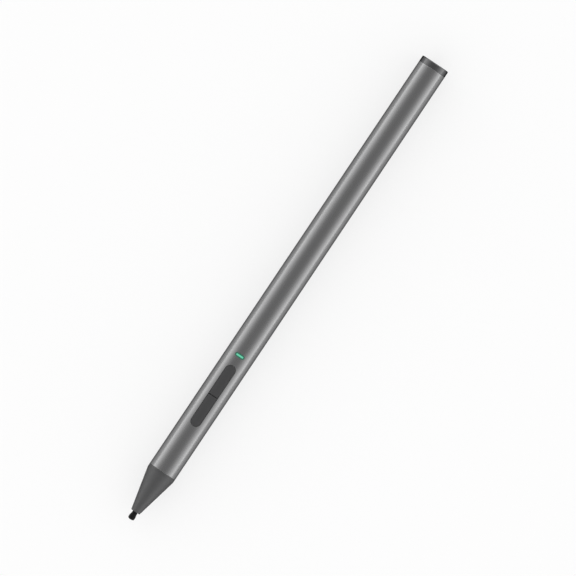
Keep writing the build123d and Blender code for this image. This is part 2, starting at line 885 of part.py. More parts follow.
# Battery pads: foam at both ends of the cell
with BuildPart() as battery_pads:
    extrude(battery_pad(battery_pad_front), amount=battery_pad_thickness)
    extrude(battery_pad(battery_rear), amount=battery_pad_thickness)
write(battery_pads, "battery_pads")

# Link flex: from the connector over the battery and down to the charge board
with BuildPart() as link_flex:
    with BuildSketch(side_plane):
        with BuildLine():
            FilletPolyline(
                (flex_front, flex_plug_height),
                (flex_rise_front, flex_plug_height),
                (flex_rise_rear, flex_run_height),
                (flex_fall_front, flex_run_height),
                (flex_fall_rear, flex_landing_height),
                (flex_rear, flex_landing_height),
                radius=flex_bend_radius,
            )
        trace(line_width=flex_thickness)
    extrude(amount=flex_width / 2, both=True)
write(link_flex, "link_flex")

# Socket shell: the drawn sleeve of the charging socket
with BuildPart() as socket_shell:
    with BuildSketch(across(socket_rear)):
        SlotOverall(socket_outer_width, socket_outer_height)
        SlotOverall(socket_mouth_width, socket_mouth_height, mode=Mode.SUBTRACT)
    extrude(amount=socket_depth)
write(socket_shell, "socket_shell")

# Socket tongue: a moulded base that closes the shell, with a blade between the contacts
tongue_front = socket_front - tongue_recess
with BuildPart() as socket_tongue:
    with BuildSketch(across(socket_rear)):
        SlotOverall(socket_mouth_width - 2 * bond_gap, socket_mouth_height - 2 * bond_gap)
    extrude(amount=tongue_base_length)
    with BuildSketch(across(socket_rear)):
        Rectangle(tongue_width, tongue_thickness)
    extrude(amount=tongue_front - socket_rear)
    chamfer(socket_tongue.faces().sort_by(Axis.X)[-1].edges().filter_by(Axis.Y), tongue_tip_chamfer)
write(socket_tongue, "socket_tongue")

# Socket contacts: a row of strips on each face of the tongue
contact_mid = tongue_front - contact_tip_offset - contact_length / 2
contact_spread = tongue_width - 2 * contact_side_margin - contact_width
contact_pitch = contact_spread / (contact_count - 1)
with BuildPart() as socket_contacts:
    for side in (-1, 1):
        with BuildSketch(level(side * tongue_thickness / 2)):
            with Locations((contact_mid, 0)):
                with GridLocations(contact_length, contact_pitch, 1, contact_count):
                    Rectangle(contact_length, contact_width)
        extrude(amount=side * contact_thickness)
write(socket_contacts, "socket_contacts")

# Tail cap: closes the barrel, frames the socket's mouth and grips above and below the shell
socket_pocket_height = socket_outer_height + 2 * socket_gap
with BuildPart() as tail_cap:
    with BuildSketch(across(tail_seam)):
        Circle(barrel_radius)
    extrude(amount=tail_cap_length)
    fillet(rims(tail_cap, overall_length)[-1], tail_cap_round)
    chamfer(rims(tail_cap, tail_seam)[-1], edge_break)
    with BuildSketch(across(tail_seam)):
        Circle(tail_spigot_radius)
        Rectangle(2 * barrel_radius, socket_pocket_height, mode=Mode.SUBTRACT)
    extrude(amount=-tail_spigot_length)
    with BuildSketch(across(socket_front)):
        SlotOverall(socket_outer_width + 2 * socket_gap, socket_pocket_height)
    extrude(amount=tail_seam - socket_front, mode=Mode.SUBTRACT)
    with BuildSketch(across(socket_front)):
        SlotOverall(socket_mouth_width, socket_mouth_height)
    extrude(amount=socket_lip, mode=Mode.SUBTRACT)
write(tail_cap, "tail_cap")
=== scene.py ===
"""Looks of a rechargeable stylus pen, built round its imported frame.

The frame gives every solid its place, in metres: the pen lies along X with its nib at the low end,
its buttons face up and it rests on the floor at Z 0.
"""

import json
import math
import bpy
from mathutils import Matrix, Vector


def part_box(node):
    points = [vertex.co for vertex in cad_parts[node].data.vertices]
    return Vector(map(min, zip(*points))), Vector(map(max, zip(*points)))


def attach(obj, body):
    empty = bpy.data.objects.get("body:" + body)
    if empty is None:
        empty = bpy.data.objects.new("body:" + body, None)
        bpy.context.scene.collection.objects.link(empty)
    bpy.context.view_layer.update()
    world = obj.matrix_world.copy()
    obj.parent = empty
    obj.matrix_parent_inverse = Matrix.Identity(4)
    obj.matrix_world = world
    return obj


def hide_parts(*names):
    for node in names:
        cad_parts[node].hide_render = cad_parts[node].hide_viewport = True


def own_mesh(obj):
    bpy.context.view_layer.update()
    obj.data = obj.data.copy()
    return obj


bl_info = {
    "name": "Stylus Pen",
    "version": (1, 0, 0),
    "blender": (4, 5, 0),
    "location": "View3D > Sidebar > Stylus Pen",
    "description": "Turns, cuts and finishes the pieces of a stylus pen round its packed frame",
    "category": "Object",
}

from functools import partial

import bmesh
import bpy
from bpy.props import FloatProperty, FloatVectorProperty, IntProperty, PointerProperty
from mathutils import Vector

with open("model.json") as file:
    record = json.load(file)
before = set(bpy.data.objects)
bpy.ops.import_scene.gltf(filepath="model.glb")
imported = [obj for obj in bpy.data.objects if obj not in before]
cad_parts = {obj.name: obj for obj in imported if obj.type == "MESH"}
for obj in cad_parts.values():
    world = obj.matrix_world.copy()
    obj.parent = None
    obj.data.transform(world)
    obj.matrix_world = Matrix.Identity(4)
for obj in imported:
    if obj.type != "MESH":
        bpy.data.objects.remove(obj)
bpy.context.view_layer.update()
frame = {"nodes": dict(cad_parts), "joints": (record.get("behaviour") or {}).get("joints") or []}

MM = 0.001
MICRON = 0.000001

# How far a cutter runs past its piece, and how far off a round surface a point may lie
OVERRUN = 1.0 * MM
ON_ROUND = 4 * MICRON
# Edges that turn by more than this stay sharp
SHARP_TURN = math.radians(28)
# Plain rings of the barrel, ahead of the buttons' slot and behind the charge light
RING_AHEAD = 2.0 * MM
RING_BEHIND = 3.0 * MM
# Rings of points on a button's top and on the nib's crown, as shares of their reach
TOP_SHARES = (0.8, 0.6, 0.4, 0.2)
CROWN_SHARES = (0.0, 0.2, 0.4)
# Pitch of a spring's closed end turns, in wires, and steps round the socket's lip
CLOSED_PITCH = 1.1
LIP_STEPS = 8

# Stretches of a finish's grain along X, Y and Z
EVEN = (1.0, 1.0, 1.0)
FLAT = (1.0, 1.0, 0.0)
SOFT_ALONG = (0.25, 1.0, 1.0)
DRAWN_ALONG = (0.15, 1.0, 1.0)
SLACK_ALONG = (0.12, 1.0, 1.0)
TURNED_ROUND = (1.0, 0.2, 0.2)
DRAWN_UP = (1.0, 1.0, 0.2)
WOVEN = (0.2, 0.2, 1.0)
# Tin, amber film, copper and glass cloth of the electronics
TIN = (0.62, 0.61, 0.58)
FILM = (0.42, 0.17, 0.02)
COPPER = (0.60, 0.26, 0.08)
DARK_GLASS = (0.30, 0.27, 0.13)
PALE_GLASS = (0.46, 0.42, 0.24)
# From one copper track of a film to the next
TRACK_PITCH = 0.4 * MM
# Reach of rubbed edges, and the cosines of the turn of the surface at an edge and on a face
EDGE_REACH = 0.05 * MM
EDGE_COSINE = 0.86
FACE_COSINE = 0.995
# Fine grains across a broad one, the least share of wear and how much lighter a worn edge is
BROAD_GRAIN = 14
LEAST_WEAR = 0.15
WORN_LIGHTER = 1.2
# How much smoother tin is than ceramic, and half a capacitor's bare ceramic as a share of it
TIN_SMOOTHER = 0.2
BARE_SHARE = 0.27
# Tint of a metal's sheen at its outline, on the barrel and on the darker pieces
BARREL_SHEEN = 0.24
DARK_SHEEN = 0.12

# Camera sensor in millimetres, and the sky as (height, share of the horizon's light)
SENSOR_WIDTH = 36.0
SKY_STOPS = (
    (0.15, 0.79),
    (0.28, 0.605),
    (0.50, 0.395),
    (0.68, 0.21),
    (0.82, 0.08),
    (0.92, 0.023),
)

barrel_low, barrel_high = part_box("barrel")
cone_low, cone_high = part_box("nose_cone")
nib_low, nib_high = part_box("nib")
cap_low, cap_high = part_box("tail_cap")
spring_low, spring_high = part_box("nib_spring")
shell_low, shell_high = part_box("socket_shell")
AXIS_Z = (cone_low.z + cone_high.z) / 2
NIB_TIP_X = nib_low.x


def length_property(name, description, millimetres, least=0.0):
    """A length that a user may change."""
    return FloatProperty(
        name=name,
        description=description,
        default=millimetres * MM,
        min=least * MM,
        unit="LENGTH",
        precision=5,
    )


def colour_property(name, description, default):
    """A linear colour that a user may change."""
    return FloatVectorProperty(
        name=name,
        description=description,
        default=default,
        size=3,
        min=0.0,
        max=1.0,
        subtype="COLOR",
    )


class PenSizes(bpy.types.PropertyGroup):
    """Sizes of the pen's outer pieces"""

    sides: IntProperty(name="Sides", description="Sides of the turned pieces", default=192, min=24)
    barrel_wall: length_property("Barrel wall", "Wall of the barrel's tube", 0.5)
    tail_wall: length_property("Tail wall", "Barrel wall round the socket", 0.3)
    edge_ease: length_property("Edge ease", "Rounding of the barrel's ends", 0.07)
    slot_ease: length_property("Slot ease", "Rounding of the edges of the slots", 0.09)
    bond_gap: length_property("Bond gap", "Glue gap between fixed pieces", 0.02)
    cone_collar: length_property("Cone collar", "Straight collar of the nose cone", 1.1)
    cone_shoulder_ease: length_property("Cone shoulder ease", "Rounding behind the taper", 0.6)
    cone_tip_radius: length_property("Cone tip", "Radius of the cone's front end", 1.55)
    cone_tip_ease: length_property("Cone tip ease", "Rounding of the cone's front end", 0.18)
    cone_wall: length_property("Cone wall", "Wall of the cone's taper", 0.9)
    guide_length: length_property("Guide length", "Guide of the nib in the cone", 3.2)
    guide_radius: length_property("Guide radius", "Radius of the nib's guide", 0.96)
    guide_ease: length_property("Guide ease", "Rounding of the guide's rear end", 0.05)
    spigot_length: length_property("Spigot length", "Cone spigot in the barrel", 5.0)
    spigot_wall: length_property("Spigot wall", "Wall of the cone's spigot", 0.6)
    spigot_ease: length_property("Spigot ease", "Rounding of the spigots' ends", 0.1)
    nib_bulb_radius: length_property("Nib bulb", "Radius of the nib's bulb", 1.08)
    nib_bulb_end: length_property("Nib bulb end", "Length of the bulb's straight part", 1.3)
    nib_bulb_ease: length_property("Nib bulb ease", "Rounding behind the bulb", 1.2)
    nib_stem_radius: length_property("Nib stem", "Radius of the nib's stem", 0.88)
    nib_exposed: length_property("Nib exposed", "Nib in front of the cone", 2.82)
    nib_neck: length_property("Nib neck", "Stem in front of the cone", 0.62)
    nib_neck_ease: length_property("Nib neck ease", "Rounding into the neck", 0.8)
    nib_crown: length_property("Nib crown", "Height of the nib's crowned tip", 0.22)
    nib_tip_ease: length_property("Nib tip ease", "Rounding of the nib's tip", 0.5)
    nib_tail_ease: length_property("Nib tail ease", "Rounding of the stem's end", 0.2)
    spring_wire: length_property("Spring wire", "Thickness of the spring's wire", 0.3)
    spring_turns: IntProperty(
        name="Spring turns", description="Turns of the nib's spring", default=6, min=3
    )
    button_slot_start: length_property("Button slot start", "From the nib's tip to the slot", 35.2)
    button_slot_length: length_property("Button slot length", "Length of the buttons' slot", 22.5)
    button_slot_width: length_property("Button slot width", "Width of the buttons' slot", 3.42)
    button_gap: length_property("Button gap", "Gap round the buttons", 0.1)
    button_split: length_property("Button split", "Gap between the buttons", 0.2)
    button_ease: length_property("Button ease", "Rounding of a button's edges", 0.12)
    button_corner: length_property("Button corner", "Corner radius at the split", 0.15)
    button_flange: length_property("Button flange", "Flange round a button's foot", 0.6)
    button_flange_thickness: length_property(
        "Button flange thickness", "Thickness of a button's flange", 0.6
    )
    button_boss_radius: length_property("Button boss", "Boss that pushes the switch", 0.7)
    button_boss_length: length_property("Button boss length", "Length of a button's boss", 0.35)
    light_station: length_property("Light station", "From the nib's tip to the light", 61.42)
    light_slot_length: length_property("Light slot length", "Light's slot across the barrel", 3.3)
    light_slot_width: length_property("Light slot width", "Width of the light's slot", 1.35)
    light_gap: length_property("Light gap", "Gap round the light guide", 0.03)
    light_recess: length_property("Light recess", "Light guide below the barrel", 0.04)
    light_ease: length_property("Light ease", "Rounding of the light guide", 0.06)
    light_flange: length_property("Light flange", "Flange round the guide's foot", 0.5)
    light_flange_thickness: length_property(
        "Light flange thickness", "Thickness of the guide's flange", 0.5
    )
    light_foot_length: length_property("Light foot length", "Length of the guide's foot", 1.4)
    light_foot_width: length_property("Light foot width", "Width of the guide's foot", 0.9)
    cap_ease: length_property("Cap ease", "Rounding of the tail cap's end", 0.35)
    socket_wall: length_property("Socket wall", "Wall of the socket's shell", 0.2)
    socket_gap: length_property("Socket gap", "Gap round the socket's shell", 0.05)
    mouth_ease: length_property("Mouth ease", "Rounding of the socket's mouth", 0.12)


class PenColours(bpy.types.PropertyGroup):
    """Colours of the pen's outer pieces"""

    barrel: colour_property("Barrel", "Anodised metal of the barrel", (0.250, 0.250, 0.252))
    cone: colour_property("Cone", "Moulded plastic of the cone", (0.096, 0.096, 0.097))
    cap: colour_property("Cap", "Satin finish of the tail cap", (0.120, 0.120, 0.122))
    nib: colour_property("Nib", "Hard plastic of the nib", (0.008, 0.008, 0.008))
    button: colour_property("Buttons", "Matte plastic of the buttons", (0.040, 0.040, 0.041))
    light_core: colour_property("Light core", "Charge light at its middle", (0.150, 0.690, 0.440))
    light_rim: colour_property("Light rim", "Charge light at its edge", (0.010, 0.110, 0.064))
    light_body: colour_property("Light body", "Light guide unlit", (0.010, 0.030, 0.022))


class StageSettings(bpy.types.PropertyGroup):
    """Floor, sky and camera"""

    floor: colour_property("Floor", "Pale floor", (0.94, 0.94, 0.94))
    floor_span: length_property("Floor span", "Width of the floor", 16000.0)
    floor_lift: FloatProperty(
        name="Floor lift",
        description="Share of plain white seen on the floor",
        default=0.7,
        min=0.0,
        max=1.0,
        subtype="FACTOR",
    )
    zenith: FloatProperty(name="Zenith", description="Light from above", default=0.45, min=0.0)
    horizon: FloatProperty(
        name="Horizon", description="Light from the sides", default=2.76, min=0.0
    )
    view_span: length_property("View span", "Width of the picture at the pen", 179.764)
    lens: FloatProperty(
        name="Lens", description="Long lens in millimetres", default=1000.0, min=1.0, unit="CAMERA"
    )
    turn: FloatProperty(
        name="Turn",
        description="Turn of the picture",
        default=math.radians(-56.18),
        subtype="ANGLE",
    )
    aim_x: length_property("Aim along", "Picture's middle along the pen", 1.787, least=-100.0)
    aim_y: length_property("Aim across", "Picture's middle across the pen", -0.692, least=-100.0)


# Meshes


def eased_outline(corners, steps=5):
    """Closed outline of (along, out, ease) corners, each rounded by its own ease."""
    points = []
    for index, (along, out, ease) in enumerate(corners):
        here = Vector((along, out))
        if not ease:
            points.append((along, out))
            continue
        to_last = (Vector(corners[index - 1][:2]) - here).normalized()
        to_next = (Vector(corners[(index + 1) % len(corners)][:2]) - here).normalized()
        half = to_last.angle(to_next) / 2
        centre = here + (to_last + to_next).normalized() * (ease / math.sin(half))
        first = here + to_last * (ease / math.tan(half)) - centre
        last = here + to_next * (ease / math.tan(half)) - centre
        start = math.atan2(first.y, first.x)
        sweep = math.atan2(first.x * last.y - first.y * last.x, first.dot(last))
        points += arc(centre, ease, start, sweep, steps)
    return points


def skin(mesh, ring, other):
    """Faces between two rings, either of which may be a single point."""
    count = max(len(ring), len(other))
    for index in range(count):
        after = (index + 1) % count
        if len(ring) == 1 and len(other) > 1:
            mesh.faces.new((ring[0], other[index], other[after]))
        elif len(other) == 1 and len(ring) > 1:
            mesh.faces.new((ring[after], ring[index], other[0]))
        elif len(ring) > 1:
            mesh.faces.new((ring[after], ring[index], other[index], other[after]))


def weld(mesh):
    """Join points that lie on each other and drop the faces that close up."""
    bmesh.ops.remove_doubles(mesh, verts=mesh.verts, dist=MICRON)
    bmesh.ops.dissolve_degenerate(mesh, dist=MICRON, edges=mesh.edges)


def skinned(name, rings, closed=False):
    """Mesh object skinned over rings of points, one after another."""
    mesh = bmesh.new()
    made = [[mesh.verts.new(point) for point in ring] for ring in rings]
    for ring, other in zip(made, made[1:]):
        skin(mesh, ring, other)
    if closed:
        skin(mesh, made[-1], made[0])
    weld(mesh)
    bmesh.ops.recalc_face_normals(mesh, faces=mesh.faces)
    data = bpy.data.meshes.new(name)
    mesh.to_mesh(data)
    mesh.free()
    piece = bpy.data.objects.new(name, data)
    bpy.context.scene.collection.objects.link(piece)
    return piece


def turned(name, outline, sides, closed=True):
    """Mesh object turned about the pen's axis from (along, out) points."""
    angles = [2 * math.pi * side / sides for side in range(sides)]
    rings = []
    for along, out in outline:
        if out < MICRON:
            rings.append([(along, 0.0, AXIS_Z)])
            continue
        rings.append([(along, out * math.sin(a), AXIS_Z + out * math.cos(a)) for a in angles])
    return skinned(name, rings, closed)


def coil(name, low, high, wire, turns, steps=48, sides=16):
    """Mesh object of a spring about the pen's axis that fills a box, its end turns closed."""
    radius = (high.y - low.y - wire) / 2
    count = turns * steps
    closed_step = CLOSED_PITCH * wire / steps
    opening = []
    for step in range(count):
        turn = (step + 0.5) / steps
        opening.append(min(1.0, max(0.0, 2 * min(turn, turns - turn) - 1)))
    open_step = (high.x - low.x - wire - closed_step * count) / sum(opening)
    along = low.x + wire / 2
    rings = []
    for step in range(count + 1):
        angle = 2 * math.pi * step / steps
        advance = closed_step + open_step * opening[min(step, count - 1)]
        pitch = advance * steps / (2 * math.pi * radius)
        outward = Vector((0.0, math.cos(angle), math.sin(angle)))
        onward = Vector((pitch, -math.sin(angle), math.cos(angle)))
        sideways = onward.normalized().cross(outward)
        centre = Vector((along, 0.0, AXIS_Z)) + radius * outward
        ring = []
        for out, aside in arc((0.0, 0.0), wire / 2, 0.0, 2 * math.pi, sides)[:-1]:
            ring.append(centre + out * outward + aside * sideways)
        rings.append(ring)
        if step == 0:
            rings.insert(0, [centre])
        elif step == count:
            rings.append([centre])
        along += advance
    return skinned(name, rings)


def smooth(piece):
    """Smooth shading, with sharp edges where the surface turns by more than the sharp turn."""
    piece.data.shade_smooth()
    piece.data.set_sharp_from_angle(angle=SHARP_TURN)
    return piece


def round_normals(piece, radius):
    """Give the round outside of a piece the normals of a true cylinder."""
    data = piece.data
    normals = [(0.0, 0.0, 0.0)] * len(data.loops)
    for face in data.polygons:
        spots = [data.vertices[index].co for index in face.vertices]
        spokes = [Vector((0.0, spot.y, spot.z - AXIS_Z)) for spot in spots]
        if all(abs(spoke.length - radius) < ON_ROUND for spoke in spokes):
            for loop, spoke in zip(face.loop_indices, spokes):
                normals[loop] = spoke.normalized()
    data.normals_split_custom_set(normals)


def carve(piece, cutters):
    """Cut the cutters out of a piece and remove them."""
    for cutter in cutters:
        cut = piece.modifiers.new("cut", "BOOLEAN")
        cut.operation = "DIFFERENCE"
        cut.solver = "EXACT"
        cut.object = cutter
    bpy.context.view_layer.update()
    depsgraph = bpy.context.evaluated_depsgraph_get()
    data = bpy.data.meshes.new_from_object(piece.evaluated_get(depsgraph))
    piece.modifiers.clear()
    mesh = bmesh.new()
    mesh.from_mesh(data)
    weld(mesh)
    mesh.to_mesh(data)
    mesh.free()
    piece.data = data
    data.name = piece.name
    for cutter in cutters:
        bpy.data.objects.remove(cutter)


def arc(middle, radius, start, sweep, steps):
    """Points of an arc about a middle."""
    angles = [start + sweep * step / steps for step in range(steps + 1)]
    return [(middle[0] + radius * math.cos(a), middle[1] + radius * math.sin(a)) for a in angles]


def straight(first, last, steps):
    """Points between two points, without them."""
    shares = [step / steps for step in range(1, steps)]
    return [tuple(Vector(first).lerp(Vector(last), share)) for share in shares]


def stadium(length, width, inset=0.0, steps=24):
    """Outline of a slot with round ends, drawn in by an inset: (along, across) points."""
    radius = width / 2 - inset
    reach = (length - width) / 2
    points = arc((reach, 0.0), radius, -math.pi / 2, math.pi, steps)
    points += straight((reach, radius), (-reach, radius), steps)
    points += arc((-reach, 0.0), radius, math.pi / 2, math.pi, steps)
    points += straight((-reach, -radius), (reach, -radius), steps)
    return points


def half_stadium(length, width, split, corner, inset=0.0, steps=24):
    """Outline of one half of a slot, from the split at its middle out to its round end."""
    radius = width / 2 - inset
    reach = (length - width) / 2
    start = split / 2 + max(inset, 0.0)
    ease = max(corner - inset, corner / 10)
    flat = radius - ease
    points = arc((reach, 0.0), radius, -math.pi / 2, math.pi, steps)
    points += straight((reach, radius), (start + ease, radius), steps)
    points += arc((start + ease, flat), ease, math.pi / 2, math.pi / 2, steps // 4)
    points += straight((start, flat), (start, -flat), steps)
    points += arc((start + ease, -flat), ease, math.pi, math.pi / 2, steps // 4)
    points += straight((start + ease, -radius), (reach, -radius), steps)
    return points


def crown(across, radius):
    """Height above the axis of a round surface at a distance across the pen."""
    return math.sqrt(radius**2 - across**2)


def eased_steps(ease, steps=4):
    """(inset, drop) pairs from the side of an edge up to its top."""
    for step in range(steps + 1):
        angle = math.pi / 2 * step / steps
        yield ease * (1 - math.cos(angle)), ease * (1 - math.sin(angle))


def key_rings(outline, place, radius, ease, flange, foot):
    """Rings of a key that shows in a slot: foot, flange, skirt and a crowned top.

    outline(inset) gives the key's outline, place(along, across) its place on the pen, flange its
    (margin, top height, thickness), and foot its (reach(angle), bottom height) below the flange.
    """
    margin, flange_top, thickness = flange
    reach, foot_bottom = foot
    floor = flange_top - thickness
    base = outline(0.0)
    ends = [along for along, _ in base]
    middle = Vector(((min(ends) + max(ends)) / 2, sum(across for _, across in base) / len(base)))

    def level(points, height):
        return [(*place(*point), AXIS_Z + height) for point in points]

    def crowned(points, drop=0.0):
        places = [place(*point) for point in points]
        return [(x, y, AXIS_Z + crown(y, radius) - drop) for x, y in places]

    foot_outline = []
    for along, across in base:
        angle = math.atan2(across - middle.y, along - middle.x)
        spoke = Vector((math.cos(angle), math.sin(angle)))
        foot_outline.append(middle + reach(angle) * spoke)
    rings = [
        level([middle], foot_bottom),
        level(foot_outline, foot_bottom),
        level(foot_outline, floor),
        level(outline(-margin), floor),
        level(outline(-margin), flange_top),
        level(base, flange_top),
    ]
    for inset, drop in eased_steps(ease):
        rings.append(crowned(outline(inset), drop))
    top = [Vector(point) for point in outline(ease)]
    for share in TOP_SHARES:
        rings.append(crowned([middle + (point - middle) * share for point in top]))
    rings.append(crowned([middle]))
    return rings


def slot_cutter(outline, place, radius, ease, bottom):
    """Cutter for a slot in the barrel whose edge is rounded where it meets the outside."""
    base = [place(*point) for point in outline(0.0)]
    middle_x = sum(x for x, _ in base) / len(base)
    middle_y = sum(y for _, y in base) / len(base)
    above = AXIS_Z + radius + OVERRUN
    rings = [[(middle_x, middle_y, AXIS_Z + bottom)]]
    rings.append([(x, y, AXIS_Z + bottom) for x, y in base])
    for outset, drop in eased_steps(ease):
        points = [place(*point) for point in outline(-outset)]
        rings.append([(x, y, AXIS_Z + crown(y, radius) - drop) for x, y in points])
    rings.append([(x, y, above) for x, y, _ in rings[-1]])
    rings.append([(middle_x, middle_y, above)])
    return skinned("slot_cutter", rings)


def section(x, points):
    """Ring of (across, up) points at a place along the pen."""
    return [(x, across, AXIS_Z + up) for across, up in points]


def prism(outline, start, end, ease=0.0):
    """Cutter along the pen from an outline(inset) of (across, up) points, flared at its end."""
    middle = [(0.0, 0.0)]
    base = outline(0.0)
    rings = [section(start, middle), section(start, base), section(end - ease, base)]
    last = base
    if ease:
        for outset, drop in eased_steps(ease):
            last = outline(-outset)
            rings.append(section(end - drop, last))
    rings.append(section(end + OVERRUN, last))
    rings.append(section(end + OVERRUN, middle))
    return skinned("socket_cutter", rings)


def block(low, high):
    """Box cutter between two corners."""
    corners = [(low.y, low.z), (high.y, low.z), (high.y, high.z), (low.y, high.z)]
    middle = (low + high) / 2
    rings = [[(low.x, middle.y, middle.z)]]
    for x in (low.x, high.x):
        rings.append([(x, y, z) for y, z in corners])
    rings.append([(high.x, middle.y, middle.z)])
    return skinned("block_cutter", rings)


def set_finish(piece, material):
    """Give a piece or a node one material."""
    piece.data.materials.clear()
    piece.data.materials.append(material)


def finish_nodes(finishes):
    """Give nodes of the frame their materials, by name."""
    for node, material in finishes.items():
        set_finish(frame["nodes"][node], material)


def stand_for(piece, node, body, material):
    """A new piece stands for a node of the frame and rides on its body."""
    set_finish(piece, material)
    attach(piece, body)
    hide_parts(node)
    return piece


# Finishes


def grey(share):
    """An even grey for a colour socket."""
    return (share, share, share, 1.0)


def shaded(tint, share):
    """A colour made lighter or darker by a share."""
    return tuple(min(1.0, part * (1 + share)) for part in tint)


class Nodes:
    """The shader nodes of a material or a world."""

    def __init__(self, owner):
        owner.use_nodes = True
        self.tree = owner.node_tree

    def node(self, kind, **inputs):
        """A node with some inputs set or linked, their names written with underscores."""
        made = self.tree.nodes.new(kind)
        for name, value in inputs.items():
            self.feed(made.inputs[name.replace("_", " ")], value)
        return made

    def feed(self, socket, value):
        """Link an output to a socket, or set the socket to a value."""
        if isinstance(value, bpy.types.NodeSocket):
            self.tree.links.new(value, socket)
        else:
            socket.default_value = value


class Finish(Nodes):
    """A procedural material on one principled shader."""

    def __init__(self, name):
        self.material = bpy.data.materials.new(name)
        super().__init__(self.material)
        self.shader = self.tree.nodes["Principled BSDF"]

    def set(self, **inputs):
        """Set or link inputs of the shader."""
        for name, value in inputs.items():
            self.feed(self.shader.inputs[name.replace("_", " ")], value)
        return self

    def place(self, stretch=EVEN):
        """Coordinates in the pen's own frame, stretched."""
        coordinates = self.node("ShaderNodeTexCoord").outputs["Object"]
        mapping = self.node("ShaderNodeMapping", Vector=coordinates, Scale=stretch)
        return mapping.outputs["Vector"]

    def grain(self, size, stretch=EVEN, detail=3.0):
        """Noise whose grains are about a size across."""
        place = self.place(stretch)
        noise = self.node("ShaderNodeTexNoise", Vector=place, Scale=1 / size, Detail=detail)
        return noise.outputs["Fac"]

    def cells(self, size, stretch=EVEN, spread=1.0):
        """Distance from the middles of cells about a size across."""
        place = self.place(stretch)
        inputs = {"Vector": place, "Scale": 1 / size, "Randomness": spread}
        return self.node("ShaderNodeTexVoronoi", **inputs).outputs["Distance"]

    def between(self, value, low, high, start=0.3, end=0.7):
        """A value taken from the range start to end over to the range low to high."""
        inputs = {"Value": value, "From_Min": start, "From_Max": end, "To_Min": low, "To_Max": high}
        return self.node("ShaderNodeMapRange", **inputs).outputs["Result"]

    def mix(self, share, first, second):
        """A colour between two colours."""
        made = self.tree.nodes.new("ShaderNodeMix")
        made.data_type = "RGBA"
        self.feed(made.inputs[0], share)
        for socket, value in ((made.inputs[6], first), (made.inputs[7], second)):
            self.feed(socket, value if isinstance(value, bpy.types.NodeSocket) else (*value, 1.0))
        return made.outputs[2]

    def math(self, operation, first, second=0.0):
        """A value from one or two others."""
        made = self.tree.nodes.new("ShaderNodeMath")
        made.operation = operation
        self.feed(made.inputs[0], first)
        self.feed(made.inputs[1], second)
        return made.outputs[0]

    def axes(self):
        """The X, Y and Z of a point in the pen's own frame."""
        split = self.node("ShaderNodeSeparateXYZ", Vector=self.place())
        return split.outputs["X"], split.outputs["Y"], split.outputs["Z"]

    def edges(self):
        """A mask that rises from 0 on a face to 1 at its edges, and the normal eased over them."""
        eased = self.node("ShaderNodeBevel", Radius=EDGE_REACH).outputs["Normal"]
        flat = self.node("ShaderNodeNewGeometry").outputs["Normal"]
        turn = self.tree.nodes.new("ShaderNodeVectorMath")
        turn.operation = "DOT_PRODUCT"
        self.feed(turn.inputs[0], eased)
        self.feed(turn.inputs[1], flat)
        cosine = turn.outputs["Value"]
        return self.between(cosine, 1.0, 0.0, start=EDGE_COSINE, end=FACE_COSINE), eased

    def relief(self, height, depth, strength=1.0, normal=None):
        """Bump of a depth from a height between 0 and 1, over the surface or an eased normal."""
        bump = self.node("ShaderNodeBump", Height=height, Distance=depth, Strength=strength)
        if normal is not None:
            self.feed(bump.inputs["Normal"], normal)
        self.set(Normal=bump.outputs["Normal"])
        return self


def grained(name, tint, roughness, grain, depth, spread=0.08, stretch=EVEN, ends=None, wear=0.5):
    """Finish with a fine grain in its colour, roughness and surface, and edges rubbed lighter.

    ends, if given, is a (mask, colour) maker for parts of the piece with another colour.
    """
    finish = Finish(name)
    fine = finish.grain(grain, stretch)
    broad = finish.grain(grain * BROAD_GRAIN, stretch, detail=2.0)
    mixed = finish.math("MULTIPLY", finish.math("ADD", fine, broad), 0.5)
    edge, eased = finish.edges()
    rubbed = finish.math("MULTIPLY", edge, finish.between(broad, LEAST_WEAR * wear, wear))
    tone = finish.mix(mixed, shaded(tint, -spread), shaded(tint, spread))
    tone = finish.mix(rubbed, tone, shaded(tint, WORN_LIGHTER))
    rough = finish.between(mixed, *roughness)
    if ends:
        mask, colour = ends(finish)
        tone = finish.mix(mask, tone, colour)
        rough = finish.math("SUBTRACT", rough, finish.math("MULTIPLY", mask, TIN_SMOOTHER))
        finish.set(Metallic=mask)
    finish.set(Base_Color=tone, Roughness=rough)
    return finish.relief(fine, depth, normal=eased)


def tinned_ends(node, axis, share):
    """Maker of a mask for the tinned ends of a small component, as a share of its half-length."""
    low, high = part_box(node)
    middle = (low[axis] + high[axis]) / 2
    half = (high[axis] - low[axis]) / 2

    def make(finish):
        offset = finish.math("SUBTRACT", finish.axes()[axis], middle)
        distance = finish.math("ABSOLUTE", offset)
        return finish.math("GREATER_THAN", distance, half * (1 - share)), TIN

    return make


def tinned_row(node, pitch, count, length):
    """Maker of a mask for the tinned ends of a row of like components along the pen."""
    low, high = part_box(node)
    start = (low.x + high.x - pitch * count) / 2

    def make(finish):
        row = finish.math("DIVIDE", finish.math("SUBTRACT", finish.axes()[0], start), pitch)
        offset = finish.math("SUBTRACT", finish.math("FRACT", row), 0.5)
        distance = finish.math("ABSOLUTE", offset)
        return finish.math("GREATER_THAN", distance, BARE_SHARE * length / pitch), TIN

    return make


